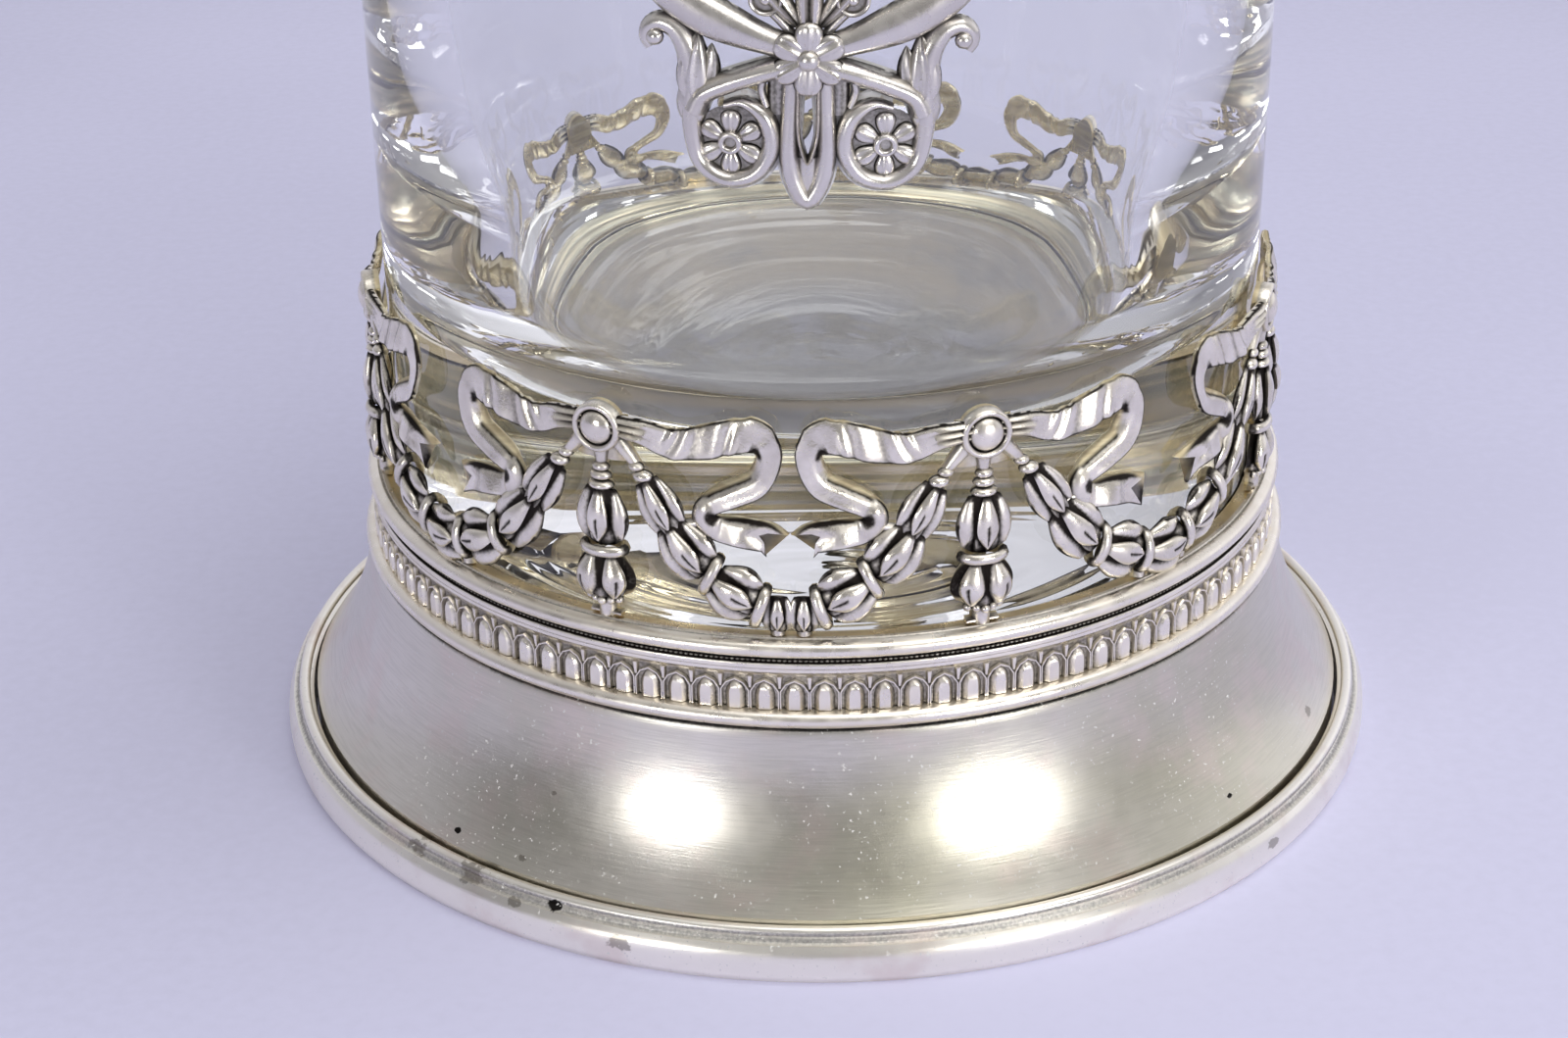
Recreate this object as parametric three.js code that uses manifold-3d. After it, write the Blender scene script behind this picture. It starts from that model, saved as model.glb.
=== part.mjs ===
// Thick glass beaker standing in a silver-plated holder with a garland gallery.
// Millimetres, +Z up, the foot's underside at z = 0, the front towards -Y.
import * as THREE from "three";
import { mergeVertices } from "three/addons/utils/BufferGeometryUtils.js";
import Module from "manifold-3d";

const wasm = await Module();
wasm.setup();

// Driving dimensions.
const FACETS = 36; // sides of every turned piece
const GAP = 0.1; // solder or bedding line between two pieces

const FOOT_RADIUS = 55; // widest point of the rim wire
const RIM_INNER_RADIUS = 52.3;
const RIM_HEIGHT = 5.05;
const SHEET = 0.95; // thickness of the spun foot
const SKIRT_FOOT = 0.6; // lower edge of the shell inside the rim
const FLARE_FOOT = { r: 51.9, z: 4.85 };
const FLARE_WAIST = { r: 46.6, z: 11.2 }; // control point of the hollow curve
const FLARE_NECK = { r: 45.4, z: 19.9 };
const NECK_TOP = { r: 45, z: 20.3 };
const COLLAR_RADIUS = 43.9;
const COLLAR_WALL = 0.9;
const COLLAR_FOOT = 20.35;
const COLLAR_TOP = 26;
const WIRE = { reach: 45.75, radius: 0.78, z: 21.22, foot: 20.45, top: 22 };
const BAND_RADIUS = 44.9;
const BAND_EDGE = { z: 25.1, slope: 0.3 }; // where the tongue band leans back
const BEAD = { reach: 45.05, radius: 0.4, z: 26.5, top: 26.9 };
const RING_RADIUS = 45.1;
const RING_INNER_RADIUS = 42.2;
const RING_BACK_RADIUS = 43.95; // over the bead wire
const RING_FOOT = 23.2;
const RING_TOP = 28.75;
const SEAT_TOP = 19.9;
const PAN = { top: 22.8, wall: 0.65 };
const PAD_RADIUS = 41.4;
const PAD_THICKNESS = 0.7;

const GLASS_FOOT = 21;
const GLASS_TOP = 150;
const GLASS_BASE_RADIUS = 41.7; // outside radius carried down to z = 0
const GLASS_FLARE = 0.007; // growth of the outside radius for each mm of height
const GLASS_WALL = 6.1; // thickness at the rim
const GLASS_RIM_ROUND = 2.6;
const GLASS_HEEL = [[40.9, GLASS_FOOT], [41.6, 21.4]]; // rounded edge of the foot
const GLASS_HEEL_TOP = 22.3;
const CAVITY_FLOOR = 41.4;
const CAVITY_FLOOR_RADIUS = 21.4;

const GALLERY_RADIUS = 43.3; // middle of the pierced strip
const SEAM_ANGLE = -3.8; // degrees from the front, towards +X
const SEAM_HALF_STEP = 22.4; // degrees from the seam to the bow on either side
const BOWS = 7;
const BUTTON_Z = 47.2;

const ORNAMENT_ANGLE = -1.05;
const ORNAMENT_TILT = -1.2;
const ORNAMENT_PIVOT_Z = 80;
const CEMENT = 0.3;
const BEDDING = 0.25; // clears the flat facets of the work laid round the glass
const CASTING = 1.5;

// Looks.
const finish = (color, roughness, metalness, opacity = 1) =>
  new THREE.MeshStandardMaterial({ color, roughness, metalness, opacity, transparent: opacity < 1 });
const silver = () => finish(0xb9b3a6, 0.25, 1);
const felt = () => finish(0x75757a, 0.95, 0);
const clear = () => finish(0xe9eeec, 0.03, 0, 0.35);
const plaster = () => finish(0xe4e1d8, 0.8, 0);

const group = new THREE.Group();

/** Adds a named piece to the object. */
function piece(name, geometry, material) {
  const mesh = new THREE.Mesh(geometry, material);
  mesh.name = name;
  group.add(mesh);
}

/** Turns a profile of [radius, height] points about +Z. */
function turned(profile) {
  const points = profile.map(([r, z]) => new THREE.Vector2(r, z));
  return new THREE.LatheGeometry(points, FACETS).rotateX(Math.PI / 2);
}

/** Turns a profile that closes on itself, such as a wire or a wall. */
function turnedRing(profile) {
  return turned([...profile, profile[0]]);
}

/** Points of an arc of a circle, both ends included, angles in degrees. */
function arc([x, y], radius, from, to, steps) {
  return Array.from({ length: steps + 1 }, (_, i) => {
    const a = THREE.MathUtils.degToRad(from + ((to - from) * i) / steps);
    return [x + radius * Math.cos(a), y + radius * Math.sin(a)];
  });
}

/** A closed solid for joining. */
function solid(geometry) {
  const bare = geometry.index ? geometry.toNonIndexed() : geometry.clone();
  bare.deleteAttribute("normal");
  bare.deleteAttribute("uv");
  const merged = mergeVertices(bare, 1e-4);
  const vertProperties = new Float32Array(merged.attributes.position.array);
  const triVerts = new Uint32Array(merged.index.array);
  return new wasm.Manifold(new wasm.Mesh({ numProp: 3, vertProperties, triVerts }));
}

/** Joins geometries that run into one another into one body. */
function joined(geometries) {
  const whole = geometries.map(solid).reduce((a, b) => a.add(b));
  const { vertProperties, triVerts } = whole.getMesh();
  const geometry = new THREE.BufferGeometry();
  geometry.setAttribute("position", new THREE.BufferAttribute(vertProperties, 3));
  geometry.setIndex(new THREE.BufferAttribute(triVerts, 1));
  return geometry;
}

/** Lays flat work (x along the arc, y up, z outwards) round the axis at an angle in degrees. */
function wrapped(geometry, angle, radiusAt) {
  const bent = geometry.clone();
  const position = bent.getAttribute("position");
  const start = THREE.MathUtils.degToRad(angle);
  for (let i = 0; i < position.count; i += 1) {
    const height = position.getY(i);
    const radius = radiusAt(height);
    const turn = start + position.getX(i) / radius;
    const reach = radius + position.getZ(i);
    position.setXYZ(i, reach * Math.sin(turn), -reach * Math.cos(turn), height);
  }
  return bent;
}

/** A flat plate of an outline and its holes, between two depths. */
function plate(outline, back, front, holes = []) {
  const shape = new THREE.Shape(outline.map(([x, y]) => new THREE.Vector2(x, y)));
  for (const hole of holes) {
    shape.holes.push(new THREE.Path(hole.map(([x, y]) => new THREE.Vector2(x, y))));
  }
  const settings = { depth: front - back, bevelEnabled: false, steps: 1 };
  return new THREE.ExtrudeGeometry(shape, settings).translate(0, 0, back);
}

/** A flat strip along a smooth line, with a swallowtail notch in its end if asked. */
function strip(line, width, back, front, steps = 10, notch = 0) {
  const curve = new THREE.CatmullRomCurve3(line.map(([x, y]) => new THREE.Vector3(x, y, 0)));
  const left = [];
  const right = [];
  for (let i = 0; i <= steps; i += 1) {
    const at = curve.getPoint(i / steps);
    const along = curve.getTangent(i / steps);
    left.push([at.x - (along.y * width) / 2, at.y + (along.x * width) / 2]);
    right.unshift([at.x + (along.y * width) / 2, at.y - (along.x * width) / 2]);
  }
  const end = curve.getPoint(1);
  const along = curve.getTangent(1);
  const fork = notch > 0 ? [[end.x - along.x * notch, end.y - along.y * notch]] : [];
  return plate([...right, ...left, ...fork].reverse(), back, front);
}

/** A turned string of [radius, share of length] points, flattened and bent along a smooth line. */
function strung(profile, line, sides, flatten) {
  const curve = new THREE.CatmullRomCurve3(line.map(([x, y]) => new THREE.Vector3(x, y, 0)));
  const points = profile.map(([r, share]) => new THREE.Vector2(r, share));
  const string = new THREE.LatheGeometry(points, sides);
  const position = string.getAttribute("position");
  for (let i = 0; i < position.count; i += 1) {
    const at = curve.getPointAt(position.getY(i));
    const along = curve.getTangentAt(position.getY(i));
    const across = position.getX(i);
    position.setXYZ(i, at.x + along.y * across, at.y - along.x * across, position.getZ(i) * flatten);
  }
  return string;
}

/** Mirrors a point of flat work in its upright middle line when side is -1. */
const mirrored = (side) => ([x, y]) => [side * x, y];

// Foot: the moulded rim wire and the spun, flaring shell with its upright collar.
const rimOvolo = [[54.5, 0], [54.92, 0.8], [FOOT_RADIUS, 2], [54.8, 2.9], [54.35, 3.7]];
const rimLip = [[53.95, 4.05], [53.7, 4.65], [53.2, RIM_HEIGHT], [52.75, 4.95], [52.5, 4.4]];
const rimInside = [[RIM_INNER_RADIUS, 4.2], [RIM_INNER_RADIUS, 0]];
piece("foot_rim", turnedRing([...rimOvolo, ...rimLip, ...rimInside]), silver());

/** The hollow curve of the foot, moved inwards by an offset. */
function flare(offset, steps) {
  const bend = new THREE.QuadraticBezierCurve(
    new THREE.Vector2(FLARE_FOOT.r - offset, FLARE_FOOT.z - offset * 0.6),
    new THREE.Vector2(FLARE_WAIST.r - offset, FLARE_WAIST.z - offset * 0.4),
    new THREE.Vector2(FLARE_NECK.r - offset, FLARE_NECK.z - offset * 0.3),
  );
  return bend.getPoints(steps).map((p) => [p.x, p.y]);
}
const collarInside = COLLAR_RADIUS - COLLAR_WALL;
piece(
  "foot_shell",
  turnedRing([
    [FLARE_FOOT.r, SKIRT_FOOT],
    ...flare(0, 6),
    [NECK_TOP.r, NECK_TOP.z],
    [COLLAR_RADIUS, COLLAR_FOOT],
    [COLLAR_RADIUS, COLLAR_TOP],
    [collarInside, COLLAR_TOP],
    [collarInside, SEAT_TOP],
    ...flare(SHEET, 6).reverse(),
    [FLARE_FOOT.r - SHEET, SKIRT_FOOT],
  ]),
  silver(),
);

// Collar: half-round wire, tongue band and bead wire soldered round the upright wall.
const collarSeat = COLLAR_RADIUS + GAP;

/** A wire's rounded face, as part of the profile that it is turned from. */
const rounded = ({ reach, radius, z }, steps) => arc([reach - radius, z], radius, -80, 80, steps);

const wireBack = [[collarSeat, WIRE.top], [collarSeat, WIRE.foot]];
piece("collar_wire", turnedRing([...wireBack, ...rounded(WIRE, 4)]), silver());
piece(
  "tongue_band",
  turnedRing([
    [collarSeat, COLLAR_TOP],
    [collarSeat, WIRE.top + GAP],
    [BAND_RADIUS, WIRE.top + GAP],
    [BAND_RADIUS, BAND_EDGE.z],
    [BAND_RADIUS - BAND_EDGE.slope, COLLAR_TOP],
  ]),
  silver(),
);
const beadBack = [[collarSeat, BEAD.top], [collarSeat, COLLAR_TOP + GAP]];
piece("bead_wire", turnedRing([...beadBack, ...rounded(BEAD, 3)]), silver());

// Seat: the pan soldered inside the collar, and the loose felt disc on it.
const panRadius = collarInside - GAP;
piece(
  "seat_pan",
  turned([
    [0, SEAT_TOP - SHEET],
    [panRadius, SEAT_TOP - SHEET],
    [panRadius, PAN.top],
    [panRadius - PAN.wall, PAN.top],
    [panRadius - PAN.wall, SEAT_TOP],
    [0, SEAT_TOP],
  ]),
  silver(),
);
const padFoot = SEAT_TOP + 2 * GAP;
const padTop = padFoot + PAD_THICKNESS;
piece("seat_pad", turned([[0, padFoot], [PAD_RADIUS, padFoot], [PAD_RADIUS, padTop], [0, padTop]]), felt());

// Gallery ring: a skirt inside the collar and a rounded shoulder over the bead wire.
const shoulder = [
  [RING_BACK_RADIUS, 27], [44.45, 27.05], [44.95, 27.4], [RING_RADIUS, 27.9], [44.9, 28.4], [44.4, 28.7],
];
const skirt = [
  [RING_INNER_RADIUS, RING_FOOT], [panRadius, RING_FOOT],
  [panRadius, COLLAR_TOP + GAP], [RING_BACK_RADIUS, COLLAR_TOP + GAP],
];
piece(
  "gallery_ring",
  turnedRing([...skirt, ...shoulder, [43.4, RING_TOP], [RING_INNER_RADIUS, RING_TOP - 0.15]]),
  silver(),
);

// Gallery strip: bows, ribbons, husk drops and husk swags, open at one seam in front.
const RIBBON = { back: -0.7, front: 0.25, width: 2.3, notch: 1.5 };
const STRING_SIDES = 6;
const FLATTEN = 0.55; // depth of the husks for their width
const FOOT_Z = RING_TOP + GAP;
const FOOT = { x: 17, top: 31.2, width: 1.3 };
const ribbonLine = [
  [1, 47.9], [6.7, 46.6], [11.8, 48], [14.6, 47.4], [15.3, 45], [13.8, 43], [10.8, 41.5], [9.9, 39],
];
const tailLine = [[7.8, 38.7], [10.4, 39.3], [14.2, 38.5], [17.2, 37.3]];
const bowStep = (360 - 2 * SEAM_HALF_STEP) / (BOWS - 1);
const arcOf = (degrees) => THREE.MathUtils.degToRad(degrees) * GALLERY_RADIUS;
const seamFoot = arcOf(SEAM_HALF_STEP) - 0.9;
const swagMiddle = arcOf(bowStep / 2) + 0.4; // runs a little into the other half
const swagLine = [[1.4, 46.6], [4.6, 42.4], [7.6, 38], [11.5, 33.9], [17, 31.5], [swagMiddle, 30.9]];
const seamLine = [[1.4, 46.6], [4.4, 42.4], [6.7, 38.2], [9.9, 34.4], [14.2, 31.8], [seamFoot, 30.9]];
const huskString = [
  [0, 0], [0.9, 0], [0.7, 0.2], [1.45, 0.29], [0.9, 0.4], [1.8, 0.48],
  [1.1, 0.59], [2, 0.69], [1.1, 0.83], [1.9, 0.94], [1.8, 1], [0, 1],
];

/** A ribbon and its swallow-tailed end, which is tied to the swag beside it. */
function ribbon(side) {
  const flip = mirrored(side);
  const { back, front, width, notch } = RIBBON;
  return [
    strip(ribbonLine.map(flip), width, back, front, 9),
    strip(tailLine.map(flip), width, back + 0.1, front - 0.1, 3, notch),
  ];
}

/** Half a swag of beads and husks, and the foot under its last binding. */
function halfSwag(side, atSeam) {
  const flip = mirrored(side);
  const footX = atSeam ? seamFoot : FOOT.x;
  const foot = [flip([footX, FOOT_Z]), flip([footX, FOOT.top])];
  return [
    strung(huskString, (atSeam ? seamLine : swagLine).map(flip), STRING_SIDES, FLATTEN),
    strip(foot, FOOT.width, RIBBON.back, 0.4, 1),
  ];
}

/** The husk drop that hangs from the bow and stands on the ring, with the button over it. */
function dropAndButton() {
  const height = BUTTON_Z - 1 - FOOT_Z;
  const dropString = [
    [0, 0], [0.9, 0], [0.9, 0.09], [2.4, 0.21], [1.5, 0.38], [2, 0.55], [0.9, 0.72], [0.7, 1], [0, 1],
  ];
  const dome = [[0, -0.7], [1.9, -0.7], [1.9, 0.5], [1.2, 1.2], [0, 1.4]];
  const button = new THREE.LatheGeometry(dome.map(([r, y]) => new THREE.Vector2(r, y)), 8);
  return [
    strung(dropString, [[0, FOOT_Z], [0, FOOT_Z + height]], STRING_SIDES, FLATTEN),
    button.rotateX(Math.PI / 2).translate(0, BUTTON_Z, 0),
  ];
}

const galleryWork = [];
for (let i = 0; i < BOWS; i += 1) {
  const angle = SEAM_ANGLE + SEAM_HALF_STEP + i * bowStep;
  const work = [
    ...dropAndButton(),
    ...ribbon(1),
    ...ribbon(-1),
    ...halfSwag(1, i === BOWS - 1),
    ...halfSwag(-1, i === 0),
  ];
  galleryWork.push(...work.map((flat) => wrapped(flat, angle, () => GALLERY_RADIUS)));
}
piece("gallery_strip", joined(galleryWork), silver());

// Glass beaker: flaring outside, thick solid base, rounded cavity and rim.
const glassRadius = (z) => GLASS_BASE_RADIUS + GLASS_FLARE * z;
const topRadius = glassRadius(GLASS_TOP);
const innerTop = topRadius - GLASS_WALL;
const cavityWall = [
  [36.4, 118], [36, 92], [34.5, 70], [32.75, 57.5], [31.8, 50.8],
  [30.9, 47.7], [29.35, 45.3], [27.25, 43.4], [24.7, 42.1],
];
piece(
  "glass_beaker",
  turned([
    [0, GLASS_FOOT],
    ...GLASS_HEEL,
    [glassRadius(GLASS_HEEL_TOP), GLASS_HEEL_TOP],
    ...arc([topRadius - GLASS_RIM_ROUND, GLASS_TOP - GLASS_RIM_ROUND], GLASS_RIM_ROUND, 0, 90, 3),
    ...arc([innerTop + GLASS_RIM_ROUND, GLASS_TOP - GLASS_RIM_ROUND], GLASS_RIM_ROUND, 90, 180, 3),
    ...cavityWall,
    [CAVITY_FLOOR_RADIUS, CAVITY_FLOOR],
    [0, CAVITY_FLOOR],
  ]),
  clear(),
);

// Front ornament: one casting of loop, volutes, leaves, crossed stems, flower and wreath.
/** The outline of a flower of pointed petals. */
function petals([x, y], count, reach, waist) {
  return Array.from({ length: count * 2 }, (_, i) => {
    const a = (i * Math.PI) / count + Math.PI / 2;
    const r = i % 2 === 0 ? reach : waist;
    return [x + r * Math.cos(a), y + r * Math.sin(a)];
  });
}

const FLOWER = [0, 81.2];
const CROWN_FLOWER = [0, 110.6];
const VOLUTE = [6.17, 73.8];
const DISH = [3.4, 85.5];
const CURL = [12.5, 81.9];
const TIP_Z = 68.1;
const OPENING_FOOT_Z = 72.4;
const WIDTH = { stem: 1.6, upright: 2.4, wreath: 3, leaf: 2.6, curl: 1.5, palm: 2.2 };
const VOLUTE_REACH = 3.9;
const DISH_REACH = 1.6;
const PETALS = 6;
const PETAL_RISE = 0.7; // how far the flowers stand out of the casting
const loopSide = [[2.5, 79.6], [2.4, 74.5], [2.15, 71.8], [0.7, 68.6]];
const openingSide = [[0.75, 78.4], [1.1, 75.3], [0.6, 73]];
const stemLine = [[4, 79.9], [7.4, 78.5], [9.3, 76.6]];
const leafLine = [[9.3, 75.5], [9.3, 78.5], [9.2, 82.6]];
const curlLine = [[9.6, 80.6], [10.4, 83], [12, 83.9], [13.5, 82.9], CURL];
const palmLine = [[0.5, 84], [4.4, 89], [6, 94]];
const uprightLine = [[0, 82], [0, 90], [0, 97.5]];
const wreathLine = [[1.6, 81.6], [10.4, 85.4], [15, 94.5], [9.8, 106], [0, 111]];
const NEST = 0.05; // overlapping flat work lies this much inside the work before it

/** Bends flat work round the glass, leaning as the casting does. */
function onGlass(flat) {
  const tilt = THREE.MathUtils.degToRad(ORNAMENT_TILT);
  flat.translate(0, -ORNAMENT_PIVOT_Z, 0).rotateZ(tilt).translate(0, ORNAMENT_PIVOT_Z, 0);
  return wrapped(flat, ORNAMENT_ANGLE, (z) => glassRadius(z) + BEDDING);
}

/** A line and its mirror image as one line through the middle. */
const throughMiddle = (line, middle) => [...line.map(mirrored(-1)).reverse(), middle, ...line];

/** Loop, crossed stems and volutes, which the casting and its cement share. */
function frame(back, front) {
  const loop = throughMiddle(loopSide.toReversed(), [0, TIP_Z]);
  const opening = throughMiddle(openingSide.toReversed(), [0, OPENING_FOOT_Z]);
  const volutes = [1, -1].map((side) => arc(mirrored(side)(VOLUTE), VOLUTE_REACH, 0, 315, 7));
  return [
    plate(loop, back, front, [opening]),
    strip(throughMiddle(stemLine, FLOWER), WIDTH.stem, back + NEST, front - NEST, 8),
    ...volutes.map((outline) => plate(outline, back + 2 * NEST, front - 2 * NEST)),
  ];
}

/** The flowers, leaves, curls and wreath that the casting has besides. */
function relief(back, front) {
  const work = [
    plate(petals(FLOWER, PETALS, 2.85, 1.5), back + 3 * NEST, front + PETAL_RISE),
    plate(petals(CROWN_FLOWER, PETALS, 2.9, 1.5), back + 4 * NEST, front + PETAL_RISE),
    strip(uprightLine, WIDTH.upright, back + 5 * NEST, front - 5 * NEST, 2),
  ];
  for (const side of [1, -1]) {
    const flip = mirrored(side);
    const inset = side > 0 ? 0 : NEST / 2;
    work.push(
      strip(wreathLine.map(flip), WIDTH.wreath, back + inset, front - inset, 8),
      strip(leafLine.map(flip), WIDTH.leaf, back + 4 * NEST, front - 4 * NEST, 2),
      strip(curlLine.map(flip), WIDTH.curl, back + 5 * NEST, front - 5 * NEST, 6),
      plate(petals(flip(VOLUTE), PETALS, 2.6, 1.4), back + 6 * NEST, front + PETAL_RISE / 2),
      plate(arc(flip(DISH), DISH_REACH, 0, 300, 5), back + 6 * NEST, front - 6 * NEST),
      strip(palmLine.map(flip), WIDTH.palm, back + 7 * NEST + inset, front - 7 * NEST - inset, 3),
    );
  }
  return work;
}
const castingBack = CEMENT + GAP;
const castingFront = castingBack + CASTING;
piece("ornament_cement", joined(frame(0, CEMENT).map(onGlass)), plaster());
const casting = [...frame(castingBack, castingFront), ...relief(castingBack, castingFront)];
piece("front_ornament", joined(casting.map(onGlass)), silver());

export default group;
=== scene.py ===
"""Dresses a thick glass beaker and its silver-plated garland holder for a studio picture.

The frame is in metres, +Z up, with the foot's underside at z = 0 and the front towards -Y.
Sizes below are in millimetres, and a finished mesh is brought to metres in one place.
"""

import logging
import math
from bisect import bisect_right
from dataclasses import dataclass, field
from enum import Enum
from itertools import accumulate
from typing import Callable, Sequence

import bmesh
import bpy
from bmesh.types import BMesh
from mathutils import Matrix, Vector


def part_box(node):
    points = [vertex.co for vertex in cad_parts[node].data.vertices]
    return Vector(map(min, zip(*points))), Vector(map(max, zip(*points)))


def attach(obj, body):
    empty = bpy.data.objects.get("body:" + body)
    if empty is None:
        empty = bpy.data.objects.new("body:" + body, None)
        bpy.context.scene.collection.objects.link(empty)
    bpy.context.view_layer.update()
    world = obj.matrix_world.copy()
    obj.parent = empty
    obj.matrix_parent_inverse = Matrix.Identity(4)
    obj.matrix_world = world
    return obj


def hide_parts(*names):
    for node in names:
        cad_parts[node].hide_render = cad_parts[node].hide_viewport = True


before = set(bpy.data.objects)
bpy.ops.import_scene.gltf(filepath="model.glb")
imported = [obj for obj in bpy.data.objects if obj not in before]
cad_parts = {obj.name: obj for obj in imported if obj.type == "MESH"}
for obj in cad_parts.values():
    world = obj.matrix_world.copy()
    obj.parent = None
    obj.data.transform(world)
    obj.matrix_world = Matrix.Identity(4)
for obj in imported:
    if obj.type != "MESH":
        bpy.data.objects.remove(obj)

MM = 0.001
SIDES = 180  # sides of a turned piece
PATINA_AND_SHADE = "patina_and_shade"  # vertex attribute: 0 on worn metal, 1 in a blackened hollow or in painted shade
BACK_DARK = 0.12  # blackening of the gallery's back

Pair = tuple[float, float]
Triple = tuple[float, float, float]
Spot = tuple[float, float, float, float]  # a place and its blackening, or a place and a radius
Colour = tuple[float, float, float, float]
Section = Callable[[float, float], Triple]
Socket = bpy.types.NodeSocket
Material = bpy.types.Material
Piece = bpy.types.Object

log = logging.getLogger("beaker")


def reach(node: str) -> float:
    """Widest radius of a turned CAD node, in millimetres."""
    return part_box(node)[1].x / MM


def foot_of(node: str) -> float:
    """Lowest height of a CAD node, in millimetres."""
    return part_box(node)[0].z / MM


def top_of(node: str) -> float:
    """Highest height of a CAD node, in millimetres."""
    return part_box(node)[1].z / MM


def smooth(low: float, high: float, value: float) -> float:
    """Rises smoothly from 0 at low to 1 at high."""
    share = min(1.0, max(0.0, (value - low) / (high - low)))
    return share * share * (3 - 2 * share)


def window(start: float, end: float, soft: float, value: float) -> float:
    """Is 1 between start and end and fades to 0 over a soft edge on either side."""
    return smooth(start - soft, start, value) * (1 - smooth(end, end + soft, value))


def level(knots: Sequence[Pair], value: float) -> float:
    """Reads a broken line of places and levels at a place."""
    for (low, start), (high, end) in zip(knots, knots[1:]):
        if value <= high:
            return start + (end - start) * max(0.0, value - low) / (high - low)
    return knots[-1][1]


def arc(centre: Pair, radius: float, start: float, end: float, steps: int) -> list[Pair]:
    """Points of an arc of a circle.

    Args:
        centre: Middle of the circle.
        radius: Its radius.
        start: First angle in degrees.
        end: Last angle in degrees.
        steps: Number of chords.

    Returns:
        The points, both ends included.
    """
    angles = [math.radians(start + (end - start) * i / steps) for i in range(steps + 1)]
    return [(centre[0] + radius * math.cos(a), centre[1] + radius * math.sin(a)) for a in angles]


def bulge(middle: Pair, half: Pair, turn: float, steps: int) -> list[Triple]:
    """Points up the rounded, bright side of a small boss.

    Args:
        middle: Radius and height of the round's middle.
        half: Half its width and half its height.
        turn: Degrees from its outer side to its end.
        steps: Number of chords.

    Returns:
        Radius, height and blackening of the points, both ends included.
    """
    (radius, out), (wide, high) = middle, half
    angles = [math.radians(turn) * i / steps for i in range(steps + 1)]
    return [(radius + wide * math.cos(a), out + high * math.sin(a), 0.0) for a in angles]


def off_axis(place: Vector) -> float:
    """Distance of a place from the upright axis."""
    return place.xy.length


def put(name: str, data: bpy.types.ID) -> Piece:
    """Puts an object that carries the given data into the scene."""
    thing = bpy.data.objects.new(name, data)
    bpy.context.scene.collection.objects.link(thing)
    return thing


class Line:
    """A smooth line through a few points of flat work, measured by its length."""

    SPAN_STEPS = 14
    PROBE = 0.004

    def __init__(self, points: Sequence[Pair]) -> None:
        """Draws the line.

        Args:
            points: The points that it passes through.
        """
        knots = [Vector(point) for point in points]
        ends = [2 * knots[0] - knots[1], *knots, 2 * knots[-1] - knots[-2]]
        self.trail: list[Vector] = []
        for a, b, c, d in zip(ends, ends[1:], ends[2:], ends[3:]):
            for i in range(self.SPAN_STEPS):
                t = i / self.SPAN_STEPS
                bend = (2 * a - 5 * b + 4 * c - d) * t * t + (3 * b - a - 3 * c + d) * t**3
                self.trail.append((2 * b + (c - a) * t + bend) / 2)
        self.trail.append(knots[-1])
        strides = [(q - p).length for p, q in zip(self.trail, self.trail[1:])]
        self.lengths = [0.0, *accumulate(strides)]

    def at(self, share: float) -> Vector:
        """The point at a share of the line's length."""
        goal = min(1.0, max(0.0, share)) * self.lengths[-1]
        i = min(len(self.trail) - 2, bisect_right(self.lengths, goal) - 1)
        stride = self.lengths[i + 1] - self.lengths[i]
        return self.trail[i].lerp(self.trail[i + 1], (goal - self.lengths[i]) / stride)

    def along(self, share: float) -> Vector:
        """The direction of the line at a share of its length."""
        return (self.at(share + self.PROBE) - self.at(share - self.PROBE)).normalized()

    def beside(self, share: float, side: float) -> Pair:
        """A point beside the line, at a distance to the right of it."""
        at, along = self.at(share), self.along(share)
        return at.x + along.y * side, at.y - along.x * side

    def share_of(self, length: float) -> float:
        """The share of the line that a length from its start is."""
        return length / self.lengths[-1]

    def points(self, steps: int) -> list[Pair]:
        """Evenly spaced points of the line."""
        return [tuple(self.at(i / steps)) for i in range(steps + 1)]


class Taper(Enum):
    """How the width of a band runs along its length."""

    EVEN = "even"
    TAIL = "tail"
    LEAF = "leaf"
    PETAL = "petal"
    SCROLL = "scroll"
    BRANCH = "branch"

    def share(self, u: float) -> float:
        """Width at a share of the length, as a share of the full width."""
        if self is Taper.TAIL:
            return 1 - 0.45 * u
        if self is Taper.LEAF:
            return 0.04 + 0.96 * math.sin(math.pi * min(1, max(0, u)) ** 0.75) ** 0.75
        if self is Taper.SCROLL:
            return 1 - 0.22 * smooth(0, 0.35, u) - 0.45 * smooth(0.82, 1, u)
        if self is Taper.BRANCH:
            return 0.62 + 0.38 * smooth(0, 0.16, u) - 0.6 * smooth(0.8, 1, u)
        if self is Taper.PETAL:
            widest = 0.62
            if u < widest:
                return 0.5 + 0.5 * math.sin(math.pi / 2 * u / widest)
            return max(0.03, math.sqrt(max(0.0, 1 - ((u - widest) / (1 - widest)) ** 2)))
        return 1.0


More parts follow.
